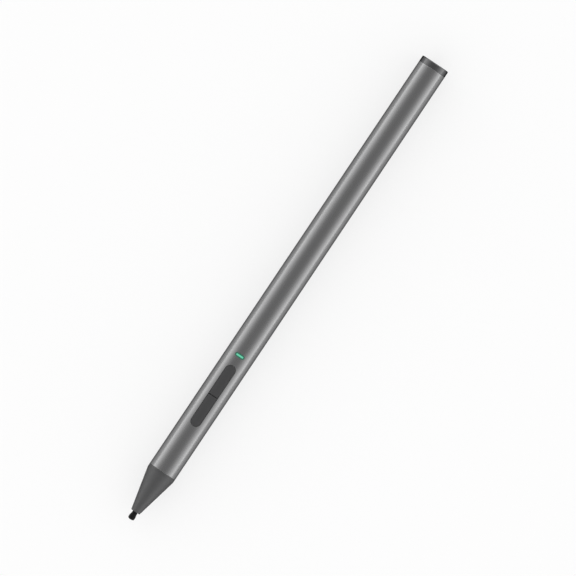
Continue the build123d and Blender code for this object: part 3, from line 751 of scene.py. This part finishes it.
def anodised_finish(colour):
    """Bead-blasted anodised metal, a little brighter where its ends and slots are rubbed."""
    finish = Finish("anodised_barrel")
    bead = finish.grain(size=0.11 * MM, detail=4.0)
    cloud = finish.grain(size=2.6 * MM, stretch=SOFT_ALONG, detail=2.0)
    blasted = finish.between(bead, low=0.0, high=1.0)
    tone = finish.mix(blasted, shaded(colour, -0.07), shaded(colour, 0.07))
    tone = finish.mix(finish.between(cloud, low=0.0, high=0.16), tone, shaded(colour, -0.25))
    along = finish.axes()[0]
    front = finish.math("SUBTRACT", along, barrel_low.x)
    rear = finish.math("SUBTRACT", barrel_high.x, along)
    nearest = finish.math("MINIMUM", front, rear)
    rubbed = finish.between(nearest, low=0.5, high=0.0, start=0.02 * MM, end=0.14 * MM)
    edge = finish.math("MULTIPLY", finish.edges()[0], finish.between(bead, low=0.1, high=0.6))
    worn = finish.math("MAXIMUM", rubbed, edge)
    finish.set(Base_Color=finish.mix(worn, tone, shaded(colour, 0.6)))
    finish.set(Roughness=finish.between(cloud, low=0.24, high=0.29))
    finish.set(Metallic=1.0, Specular_Tint=grey(BARREL_SHEEN))
    return finish.relief(bead, depth=5 * MICRON, strength=0.6).material


def cone_finish(colour):
    """Dark moulded plastic with an even spark-eroded texture."""
    finish = grained(
        "cone_plastic", colour, (0.46, 0.54), grain=0.09 * MM, depth=6 * MICRON, spread=0.10
    )
    finish.set(Metallic=0.6, Specular_IOR_Level=0.1, Specular_Tint=grey(DARK_SHEEN))
    return finish.material


def cap_finish(colour):
    """Dark satin metallic finish of the tail cap."""
    finish = grained(
        "cap_plastic", colour, (0.24, 0.30), grain=0.10 * MM, depth=3 * MICRON, spread=0.06
    )
    return finish.set(Metallic=1.0, Specular_Tint=grey(DARK_SHEEN)).material


def nib_finish(colour):
    """Hard black plastic, polished by use at its tip and scuffed along its sides."""
    finish = Finish("nib_plastic")
    scuff = finish.grain(size=0.07 * MM, stretch=SOFT_ALONG, detail=4.0)
    behind_tip = finish.math("SUBTRACT", finish.axes()[0], NIB_TIP_X)
    rough = finish.between(behind_tip, low=0.26, high=0.36, start=0.1 * MM, end=0.9 * MM)
    rough = finish.math("ADD", rough, finish.between(scuff, low=-0.04, high=0.06))
    tone = finish.mix(scuff, shaded(colour, -0.3), shaded(colour, 0.6))
    finish.set(Base_Color=tone, Roughness=rough, Specular_IOR_Level=0.08)
    return finish.relief(scuff, depth=3 * MICRON, strength=0.5).material


def button_finish(colour):
    """Matte moulded plastic of the buttons."""
    finish = grained(
        "button_plastic", colour, (0.62, 0.72), grain=0.08 * MM, depth=5 * MICRON
    )
    return finish.set(Specular_IOR_Level=0.4).material


def light_finish(sizes, colours):
    """Light guide, bright along its middle and dimmer towards its rim."""
    finish = Finish("light_guide")
    along, across, _ = finish.axes()
    reach = (sizes.light_slot_length - sizes.light_slot_width) / 2
    past = finish.math("SUBTRACT", finish.math("ABSOLUTE", across), reach)
    past = finish.math("MAXIMUM", past, 0.0)
    offset = finish.math("SUBTRACT", along, NIB_TIP_X + sizes.light_station)
    squares = [finish.math("MULTIPLY", part, part) for part in (past, offset)]
    distance = finish.math("SQRT", finish.math("ADD", *squares))
    rim = finish.between(distance, low=0.0, high=1.0, start=0.20 * MM, end=0.36 * MM)
    speck = finish.grain(size=0.12 * MM)
    glow = finish.mix(rim, colours.light_core, colours.light_rim)
    glow = finish.mix(finish.between(speck, low=0.0, high=0.12), glow, colours.light_rim)
    finish.set(Base_Color=(*colours.light_body, 1.0), Emission_Color=glow, Emission_Strength=0.92)
    finish.set(Roughness=finish.between(speck, low=0.34, high=0.42), Specular_IOR_Level=0.4)
    return finish.relief(speck, depth=2 * MICRON, strength=0.4).material


def drawn_metal(name, tint, roughness=(0.24, 0.34), stretch=DRAWN_ALONG):
    """Bare metal with fine lines along the way that it was drawn or rolled."""
    finish = grained(
        name, tint, roughness, grain=0.05 * MM, depth=1.5 * MICRON, stretch=stretch
    )
    return finish.set(Metallic=1.0).material


def moulded(name, tint):
    """Plain moulded plastic with a fine texture."""
    finish = grained(
        name, tint, (0.48, 0.58), grain=0.10 * MM, depth=4 * MICRON, spread=0.10, wear=0.35
    )
    return finish.material


def rubber_finish(name, tint):
    """Soft moulded rubber with a broad, shallow grain."""
    return grained(name, tint, (0.6, 0.7), grain=0.2 * MM, depth=2 * MICRON).material


def resin_finish(name, tint):
    """Black moulded resin of a chip, with the fine pits that its mould leaves."""
    finish = grained(name, tint, (0.50, 0.62), grain=0.05 * MM, depth=5 * MICRON, spread=0.20)
    return finish.set(Specular_IOR_Level=0.4).material


def ceramic_finish(name, tint, ends, spread=0.12):
    """Fired ceramic with a fine speckle and tinned ends."""
    finish = grained(
        name, tint, (0.42, 0.52), grain=0.06 * MM, depth=3 * MICRON, spread=spread, ends=ends
    )
    return finish.material


def circuit_finish(name, mask, trace):
    """Solder mask over a grid of tracks, with small tinned pads showing."""
    finish = Finish(name)
    brick = finish.node("ShaderNodeTexBrick", Vector=finish.place(FLAT), Scale=1 / (1.1 * MM))
    grid = {"Mortar Size": 0.035, "Brick Width": 1.7, "Row Height": 0.32}
    for socket, share in grid.items():
        finish.feed(brick.inputs[socket], share)
    line = brick.outputs["Fac"]
    dots = finish.cells(size=0.9 * MM, stretch=FLAT, spread=0.35)
    pads = finish.between(dots, low=1.0, high=0.0, start=0.10, end=0.14)
    normal = finish.node("ShaderNodeNewGeometry").outputs["Normal"]
    upward = finish.node("ShaderNodeSeparateXYZ", Vector=normal).outputs["Z"]
    cut = finish.math("LESS_THAN", finish.math("ABSOLUTE", upward), 0.5)
    pads = finish.math("MULTIPLY", pads, finish.math("SUBTRACT", 1.0, cut))
    weave = finish.grain(size=0.08 * MM, stretch=WOVEN)
    glass = finish.mix(weave, DARK_GLASS, PALE_GLASS)
    face = finish.mix(pads, finish.mix(line, mask, trace), TIN)
    finish.set(Base_Color=finish.mix(cut, face, glass), Metallic=pads)
    finish.set(Roughness=finish.between(pads, low=0.30, high=0.24, start=0.0, end=1.0))
    finish.set(Coat_Weight=0.25, Coat_Roughness=0.2)
    return finish.relief(line, depth=12 * MICRON, strength=0.7).material


def film_finish(name):
    """Amber film with copper tracks running along it."""
    finish = Finish(name)
    row = finish.math("DIVIDE", finish.axes()[1], TRACK_PITCH)
    track = finish.math("GREATER_THAN", finish.math("FRACT", row), 0.5)
    speck = finish.grain(size=0.2 * MM)
    toned = finish.mix(finish.between(speck, low=0.0, high=0.3), FILM, shaded(FILM, -0.35))
    finish.set(Base_Color=finish.mix(finish.math("MULTIPLY", track, 0.6), toned, COPPER))
    finish.set(Roughness=finish.between(speck, low=0.30, high=0.40))
    finish.set(Coat_Weight=0.3, Coat_Roughness=0.15)
    return finish.relief(track, depth=6 * MICRON, strength=0.6).material


def wrap_finish(name, tint):
    """Shrink wrap over the cell, with slack wrinkles along it."""
    finish = Finish(name)
    wrinkle = finish.grain(size=0.9 * MM, stretch=SLACK_ALONG, detail=2.0)
    speck = finish.between(finish.grain(size=0.15 * MM), low=0.0, high=0.5)
    finish.set(Base_Color=finish.mix(speck, tint, shaded(tint, -0.25)))
    finish.set(Roughness=finish.between(wrinkle, low=0.24, high=0.34))
    finish.set(Coat_Weight=0.4, Coat_Roughness=0.1)
    return finish.relief(wrinkle, depth=30 * MICRON, strength=0.8).material


def foam_finish(name, tint):
    """Closed-cell foam, with painted shade darkening the hollows of its cells and their walls
    painted lighter.
    """
    finish = Finish(name)
    bubble = finish.cells(size=0.22 * MM)
    # Painted shade: the cells' hollows, which the bump also sinks, are darker and their walls
    # lighter
    finish.set(Base_Color=finish.mix(bubble, shaded(tint, -0.4), shaded(tint, 0.4)))
    finish.set(Roughness=finish.between(bubble, low=0.95, high=0.8, start=0.0, end=1.0))
    return finish.relief(bubble, depth=60 * MICRON, strength=0.9).material


# Pieces


def on_barrel(station, end=1):
    """Place of an outline that runs along the barrel, towards its tail (1) or its nib (-1)."""
    return lambda along, across: (NIB_TIP_X + station + end * along, across)


def across_barrel(station):
    """Place of an outline that runs across the barrel."""
    return lambda along, across: (NIB_TIP_X + station + across, along)


class PEN_OT_barrel(bpy.types.Operator):
    """Turn the barrel's tube and cut the slots of the buttons and the charge light"""

    bl_idname = "pen.barrel"
    bl_label = "Barrel"

    def execute(self, context):
        sizes = context.scene.pen_sizes
        radius = barrel_high.z - AXIS_Z
        bore = radius - sizes.barrel_wall
        tail_bore = radius - sizes.tail_wall
        step_x = shell_low.x - sizes.socket_gap
        ease = sizes.edge_ease
        slot_middle = sizes.button_slot_start + sizes.button_slot_length / 2
        plain_rings = [
            NIB_TIP_X + sizes.button_slot_start - RING_AHEAD,
            NIB_TIP_X + sizes.light_station + RING_BEHIND,
        ]
        corners = [(barrel_low.x, bore, ease / 2), (barrel_low.x, radius, ease)]
        corners += [(x, radius, 0.0) for x in plain_rings]
        corners += [(barrel_high.x, radius, ease), (barrel_high.x, tail_bore, ease / 2)]
        corners += [(step_x, tail_bore, 0.0), (step_x, bore, 0.0)]
        corners += [(x, bore, 0.0) for x in reversed(plain_rings)]
        piece = turned("barrel_tube", eased_outline(corners), sizes.sides)

        button_slot = partial(stadium, sizes.button_slot_length, sizes.button_slot_width)
        light_slot = partial(stadium, sizes.light_slot_length, sizes.light_slot_width)
        slots = (
            (button_slot, on_barrel(slot_middle), sizes.slot_ease),
            (light_slot, across_barrel(sizes.light_station), sizes.slot_ease / 2),
        )
        cutters = []
        for outline, place, slot_ease in slots:
            cutters.append(slot_cutter(outline, place, radius, slot_ease, bore / 2))
        carve(piece, cutters)
        smooth(piece)
        round_normals(piece, radius)
        material = anodised_finish(context.scene.pen_colours.barrel)
        stand_for(piece, "barrel", "pen_body", material)
        return {"FINISHED"}


class PEN_OT_nose_cone(bpy.types.Operator):
    """Turn the moulded cone with its guide, hollow and spigot"""

    bl_idname = "pen.nose_cone"
    bl_label = "Nose cone"

    def execute(self, context):
        sizes = context.scene.pen_sizes
        radius = cone_high.z - AXIS_Z
        front = cone_low.x
        spigot_end = cone_high.x
        seam = spigot_end - sizes.spigot_length
        shoulder = seam - sizes.cone_collar
        slope = (radius - sizes.cone_tip_radius) / (shoulder - front)
        spigot = radius - sizes.barrel_wall - sizes.bond_gap
        hollow = spigot - sizes.spigot_wall
        guide_end = front + sizes.guide_length
        hollow_front = sizes.cone_tip_radius + slope * sizes.guide_length - sizes.cone_wall
        hollow_end = front + (hollow + sizes.cone_wall - sizes.cone_tip_radius) / slope
        corners = [
            (front, sizes.guide_radius, sizes.edge_ease),
            (front, sizes.cone_tip_radius, sizes.cone_tip_ease),
            (shoulder, radius, sizes.cone_shoulder_ease),
            (seam, radius, sizes.edge_ease),
            (seam, spigot, 0.0),
            (spigot_end, spigot, sizes.spigot_ease),
            (spigot_end, hollow, sizes.spigot_ease),
            (hollow_end, hollow, 0.0),
            (guide_end, hollow_front, sizes.spigot_ease),
            (guide_end, sizes.guide_radius, sizes.guide_ease),
        ]
        piece = smooth(turned("nose_cone_shell", eased_outline(corners), sizes.sides))
        material = cone_finish(context.scene.pen_colours.cone)
        stand_for(piece, "nose_cone", "pen_body", material)
        return {"FINISHED"}


class PEN_OT_nib(bpy.types.Operator):
    """Turn the nib with its crowned bulb, its neck and its stem"""

    bl_idname = "pen.nib"
    bl_label = "Nib"

    def execute(self, context):
        sizes = context.scene.pen_sizes
        bulb = sizes.nib_bulb_radius
        stem = sizes.nib_stem_radius
        tip = nib_low.x
        tail = nib_high.x
        rounding = (bulb**2 + sizes.nib_crown**2) / (2 * sizes.nib_crown)
        corners = []
        for share in CROWN_SHARES:
            out = bulb * share
            corners.append((tip + rounding - crown(out, rounding), out, 0.0))
        corners += [
            (tip + rounding - crown(bulb, rounding), bulb, sizes.nib_tip_ease),
            (tip + sizes.nib_bulb_end, bulb, sizes.nib_bulb_ease),
            (tip + sizes.nib_exposed - sizes.nib_neck, stem, sizes.nib_neck_ease),
            (tail, stem, sizes.nib_tail_ease),
            (tail, 0.0, 0.0),
        ]
        piece = smooth(turned("nib_tip", eased_outline(corners), sizes.sides // 2, closed=False))
        material = nib_finish(context.scene.pen_colours.nib)
        stand_for(piece, "nib", "nib", material)
        return {"FINISHED"}


class PEN_OT_buttons(bpy.types.Operator):
    """Shape the two side buttons with their flanges and bosses"""

    bl_idname = "pen.buttons"
    bl_label = "Side buttons"

    def execute(self, context):
        sizes = context.scene.pen_sizes
        length = sizes.button_slot_length - 2 * sizes.button_gap
        width = sizes.button_slot_width - 2 * sizes.button_gap
        middle = sizes.button_slot_start + sizes.button_slot_length / 2
        thickness = sizes.button_flange_thickness
        outline = partial(half_stadium, length, width, sizes.button_split, sizes.button_corner)
        material = button_finish(context.scene.pen_colours.button)
        for name, end in (("front_button", -1), ("rear_button", 1)):
            low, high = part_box(name)
            top = high.z - AXIS_Z
            bottom = low.z - AXIS_Z
            flange_top = bottom + sizes.button_boss_length + thickness
            rings = key_rings(
                outline,
                on_barrel(middle, end),
                top,
                sizes.button_ease,
                flange=(sizes.button_flange, flange_top, thickness),
                foot=(lambda angle: sizes.button_boss_radius, bottom),
            )
            piece = smooth(skinned(f"{name}_key", rings))
            round_normals(piece, top)
            stand_for(piece, name, name, material)
        return {"FINISHED"}


class PEN_OT_charge_light(bpy.types.Operator):
    """Shape the lit guide of the charge light"""

    bl_idname = "pen.charge_light"
    bl_label = "Charge light"

    def execute(self, context):
        sizes = context.scene.pen_sizes
        barrel_radius = barrel_high.z - AXIS_Z
        radius = barrel_radius - sizes.light_recess
        length = sizes.light_slot_length - 2 * sizes.light_gap
        width = sizes.light_slot_width - 2 * sizes.light_gap
        half_flange = sizes.light_slot_length / 2 + sizes.light_flange
        flange_top = crown(half_flange, barrel_radius - sizes.barrel_wall) - sizes.bond_gap
        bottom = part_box("light_guide")[0].z - AXIS_Z

        def foot(angle):
            along = abs(math.cos(angle)) / (sizes.light_foot_length / 2)
            across = abs(math.sin(angle)) / (sizes.light_foot_width / 2)
            return 1 / max(along, across)

        rings = key_rings(
            partial(stadium, length, width),
            across_barrel(sizes.light_station),
            radius,
            sizes.light_ease,
            flange=(sizes.light_flange, flange_top, sizes.light_flange_thickness),
            foot=(foot, bottom),
        )
        piece = smooth(skinned("light_guide_bar", rings))
        round_normals(piece, radius)
        material = light_finish(sizes, context.scene.pen_colours)
        stand_for(piece, "light_guide", "pen_body", material)
        return {"FINISHED"}


class PEN_OT_tail(bpy.types.Operator):
    """Turn the tail cap, cut its socket's mouth and shape the socket"""

    bl_idname = "pen.tail"
    bl_label = "Tail cap and socket"

    def execute(self, context):
        sizes = context.scene.pen_sizes
        width = shell_high.y - shell_low.y
        height = shell_high.z - shell_low.z
        wall = sizes.socket_wall
        shell = partial(stadium, width, height)
        mouth = partial(stadium, width - 2 * wall, height - 2 * wall)
        self.turn_cap(sizes, shell, mouth, context.scene.pen_colours.cap)
        self.shape_sleeve(shell, wall)
        finish_nodes(
            {
                "socket_tongue": moulded("tongue_plastic", (0.012, 0.012, 0.013)),
                "socket_contacts": drawn_metal("contact_gold", (0.83, 0.56, 0.20), (0.18, 0.26)),
            }
        )
        return {"FINISHED"}

    def turn_cap(self, sizes, shell, mouth, colour):
        radius = cap_high.z - AXIS_Z
        spigot = radius - sizes.tail_wall - sizes.bond_gap
        seam = barrel_high.x
        corners = [
            (cap_low.x, 0.0, 0.0),
            (cap_low.x, spigot, sizes.spigot_ease),
            (seam, spigot, 0.0),
            (seam, radius, sizes.edge_ease),
            (cap_high.x, radius, sizes.cap_ease),
            (cap_high.x, 0.0, 0.0),
        ]
        piece = turned("tail_cap_disc", eased_outline(corners), sizes.sides, closed=False)
        gap = sizes.socket_gap
        half_pocket = (shell_high.z - shell_low.z) / 2 + gap
        pocket_low = Vector((cap_low.x - OVERRUN, -2 * radius, AXIS_Z - half_pocket))
        pocket_high = Vector((seam, 2 * radius, AXIS_Z + half_pocket))
        cut_start = seam - OVERRUN
        cutters = (
            block(pocket_low, pocket_high),
            prism(lambda inset: shell(inset - gap), cut_start, shell_high.x - OVERRUN),
            prism(mouth, cut_start, cap_high.x, sizes.mouth_ease),
        )
        for cutter in cutters:
            carve(piece, [cutter])
        stand_for(smooth(piece), "tail_cap", "pen_body", cap_finish(colour))

    def shape_sleeve(self, shell, wall):
        lip = wall / 2
        lip_x = shell_high.x - lip
        rings = [section(shell_low.x, shell(0.0)), section(lip_x, shell(0.0))]
        for step in range(1, LIP_STEPS + 1):
            angle = math.pi * step / LIP_STEPS
            inset = lip * (1 - math.cos(angle))
            rings.append(section(lip_x + lip * math.sin(angle), shell(inset)))
        rings.append(section(shell_low.x, shell(wall)))
        sleeve = smooth(skinned("socket_sleeve", rings, closed=True))
        steel = drawn_metal("socket_steel", (0.48, 0.48, 0.49))
        stand_for(sleeve, "socket_shell", "pen_body", steel)


class PEN_OT_nib_drive(bpy.types.Operator):
    """Wind the nib's spring and finish the pieces that carry and sense the nib"""

    bl_idname = "pen.nib_drive"
    bl_label = "Nib drive"

    def execute(self, context):
        sizes = context.scene.pen_sizes
        wire = sizes.spring_wire
        spring = coil("nib_spring_coil", spring_low, spring_high, wire, sizes.spring_turns)
        steel = drawn_metal("spring_steel", (0.52, 0.52, 0.53))
        stand_for(smooth(spring), "nib_spring", "pen_body", steel)
        press = next(joint for joint in frame["joints"] if joint["name"] == "nib_press")
        pressed_share = 1 - max(press["range_m"]) / (spring_high.x - spring_low.x)
        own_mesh(spring)
        brass = drawn_metal("electrode_brass", (0.72, 0.50, 0.20), (0.26, 0.36), TURNED_ROUND)
        can = drawn_metal("sensor_can", (0.58, 0.58, 0.60), (0.22, 0.30), DRAWN_UP)
        finish_nodes(
            {
                "tilt_ring": brass,
                "nib_holder": brass,
                "sensor_housing": moulded("housing_plastic", (0.06, 0.06, 0.063)),
                "pressure_sensor": can,
                "sensor_pad": rubber_finish("silicone", (0.50, 0.51, 0.53)),
                "sensor_flex": film_finish("sensor_flex_film"),
            }
        )
        return {"FINISHED"}


class PEN_OT_electronics(bpy.types.Operator):
    """Finish the chassis, the boards and what stands on them"""

    bl_idname = "pen.electronics"
    bl_label = "Electronics"

    def execute(self, context):
        board = circuit_finish("circuit_board", (0.006, 0.075, 0.030), (0.020, 0.150, 0.065))
        case = moulded("switch_case", (0.05, 0.05, 0.053))
        plunger = moulded("switch_plunger", (0.70, 0.68, 0.62))
        resin = resin_finish("chip_resin", (0.016, 0.016, 0.017))
        screw = drawn_metal("screw_steel", (0.46, 0.46, 0.48), stretch=DRAWN_UP)
        light_ends = tinned_ends("status_light", axis=1, share=0.3)
        antenna_ends = tinned_ends("antenna", axis=0, share=0.22)
        inductor_ends = tinned_ends("inductor", axis=0, share=0.2)
        capacitor_ends = tinned_row("capacitors", pitch=1.1 * MM, count=3, length=0.8 * MM)
        finish_nodes(
            {
                "chassis": moulded("chassis_plastic", (0.032, 0.032, 0.035)),
                "main_board": board,
                "charge_board": board,
                "board_screws": screw,
                "front_switch": case,
                "rear_switch": case,
                "front_switch_plunger": plunger,
                "rear_switch_plunger": plunger,
                "status_light": ceramic_finish("light_chip", (0.76, 0.70, 0.40), light_ends),
                "antenna": ceramic_finish("antenna_ceramic", (0.62, 0.62, 0.57), antenna_ends),
                "driver_chip": resin,
                "processor": resin,
                "charge_chip": resin,
                "crystal": drawn_metal("crystal_can", (0.62, 0.60, 0.55)),
                "inductor": ceramic_finish("ferrite", (0.075, 0.075, 0.08), inductor_ends, 0.25),
                "capacitors": ceramic_finish(
                    "capacitor_ceramic", (0.36, 0.23, 0.13), capacitor_ends
                ),
                "flex_connector": moulded("connector_plastic", (0.66, 0.62, 0.52)),
                "link_flex": film_finish("link_flex_film"),
            }
        )
        return {"FINISHED"}


class PEN_OT_battery(bpy.types.Operator):
    """Finish the cell, its tabs and its pads"""

    bl_idname = "pen.battery"
    bl_label = "Battery"

    def execute(self, context):
        finish_nodes(
            {
                "battery": wrap_finish("battery_wrap", (0.035, 0.10, 0.26)),
                "battery_tabs": drawn_metal("nickel", (0.60, 0.57, 0.51)),
                "battery_pads": foam_finish("foam", (0.055, 0.055, 0.057)),
            }
        )
        return {"FINISHED"}


class PEN_OT_stage(bpy.types.Operator):
    """Lay the pale floor, light it from a soft sky and set the camera"""

    bl_idname = "pen.stage"
    bl_label = "Stage"

    def execute(self, context):
        settings = context.scene.pen_stage
        self.lay_floor(context.scene, settings)
        self.light_sky(context.scene, settings)
        self.set_camera(context.scene, settings)
        context.scene.view_settings.view_transform = "Standard"
        return {"FINISHED"}

    def lay_floor(self, scene, settings):
        half = settings.floor_span / 2
        data = bpy.data.meshes.new("floor")
        corners = [(-half, -half, 0), (half, -half, 0), (half, half, 0), (-half, half, 0)]
        data.from_pydata(corners, [], [(0, 1, 2, 3)])
        floor = bpy.data.objects.new("floor", data)
        scene.collection.objects.link(floor)
        finish = Finish("floor_paper")
        finish.set(Base_Color=(*settings.floor, 1.0), Roughness=1.0, Specular_IOR_Level=0.0)
        path = finish.node("ShaderNodeLightPath").outputs
        seen = finish.math("MAXIMUM", path["Is Camera Ray"], path["Is Glossy Ray"])
        seen = finish.math("MAXIMUM", seen, path["Is Transmission Ray"])
        white = finish.node("ShaderNodeEmission", Color=grey(1.0), Strength=1.0)
        lift = finish.math("MULTIPLY", seen, settings.floor_lift)
        blend = finish.node("ShaderNodeMixShader", Fac=lift)
        finish.feed(blend.inputs[1], finish.shader.outputs["BSDF"])
        finish.feed(blend.inputs[2], white.outputs["Emission"])
        finish.feed(finish.tree.nodes["Material Output"].inputs["Surface"], blend.outputs["Shader"])
        set_finish(floor, finish.material)

    def light_sky(self, scene, settings):
        scene.world = bpy.data.worlds.new("studio_sky")
        sky = Nodes(scene.world)
        direction = sky.node("ShaderNodeTexCoord").outputs["Generated"]
        height = sky.node("ShaderNodeSeparateXYZ", Vector=direction).outputs["Z"]
        ramp = sky.node("ShaderNodeValToRGB", Fac=height)
        stops = ramp.color_ramp.elements
        ramp.color_ramp.interpolation = "CARDINAL"
        stops[0].position = 0.0
        stops[0].color = grey(1.0)
        stops[1].position = 1.0
        stops[1].color = grey(0.0)
        for position, share in SKY_STOPS:
            stops.new(position).color = grey(share)
        lights = {"To_Min": settings.zenith, "To_Max": settings.horizon}
        strength = sky.node("ShaderNodeMapRange", Value=ramp.outputs["Color"], **lights)
        background = sky.tree.nodes["Background"].inputs
        sky.feed(background["Color"], grey(1.0))
        sky.feed(background["Strength"], strength.outputs["Result"])

    def set_camera(self, scene, settings):
        data = bpy.data.cameras.new("camera")
        data.lens = settings.lens
        data.sensor_width = SENSOR_WIDTH
        camera = bpy.data.objects.new("camera", data)
        distance = settings.view_span * settings.lens / SENSOR_WIDTH
        camera.location = (settings.aim_x, settings.aim_y, AXIS_Z + distance)
        camera.rotation_euler = (0.0, 0.0, settings.turn)
        scene.collection.objects.link(camera)
        scene.camera = camera


class PEN_PT_sidebar(bpy.types.Panel):
    """Sidebar panel that lists the pen's pieces"""

    bl_idname = "PEN_PT_sidebar"
    bl_label = "Stylus Pen"
    bl_space_type = "VIEW_3D"
    bl_region_type = "UI"
    bl_category = "Stylus Pen"

    def draw(self, context):
        for operator in PIECES:
            self.layout.operator(operator.bl_idname)
        for group in (context.scene.pen_sizes, context.scene.pen_colours, context.scene.pen_stage):
            box = self.layout.box()
            for name in group.bl_rna.properties.keys():
                if name not in ("rna_type", "name"):
                    box.prop(group, name)


PIECES = (
    PEN_OT_barrel,
    PEN_OT_nose_cone,
    PEN_OT_nib,
    PEN_OT_buttons,
    PEN_OT_charge_light,
    PEN_OT_tail,
    PEN_OT_nib_drive,
    PEN_OT_electronics,
    PEN_OT_battery,
    PEN_OT_stage,
)
GROUPS = {"pen_sizes": PenSizes, "pen_colours": PenColours, "pen_stage": StageSettings}


def register():
    """Add the pen's settings, operators and panel."""
    for group in GROUPS.values():
        bpy.utils.register_class(group)
    for name, group in GROUPS.items():
        setattr(bpy.types.Scene, name, PointerProperty(type=group))
    for piece in (*PIECES, PEN_PT_sidebar):
        bpy.utils.register_class(piece)


def unregister():
    """Take them away again."""
    for piece in reversed((*PIECES, PEN_PT_sidebar)):
        bpy.utils.unregister_class(piece)
    for name, group in GROUPS.items():
        delattr(bpy.types.Scene, name)
        bpy.utils.unregister_class(group)


def main():
    """Build every piece in order."""
    register()
    for piece in PIECES:
        family, name = piece.bl_idname.split(".")
        getattr(getattr(bpy.ops, family), name)()


if __name__ == "__main__":
    main()
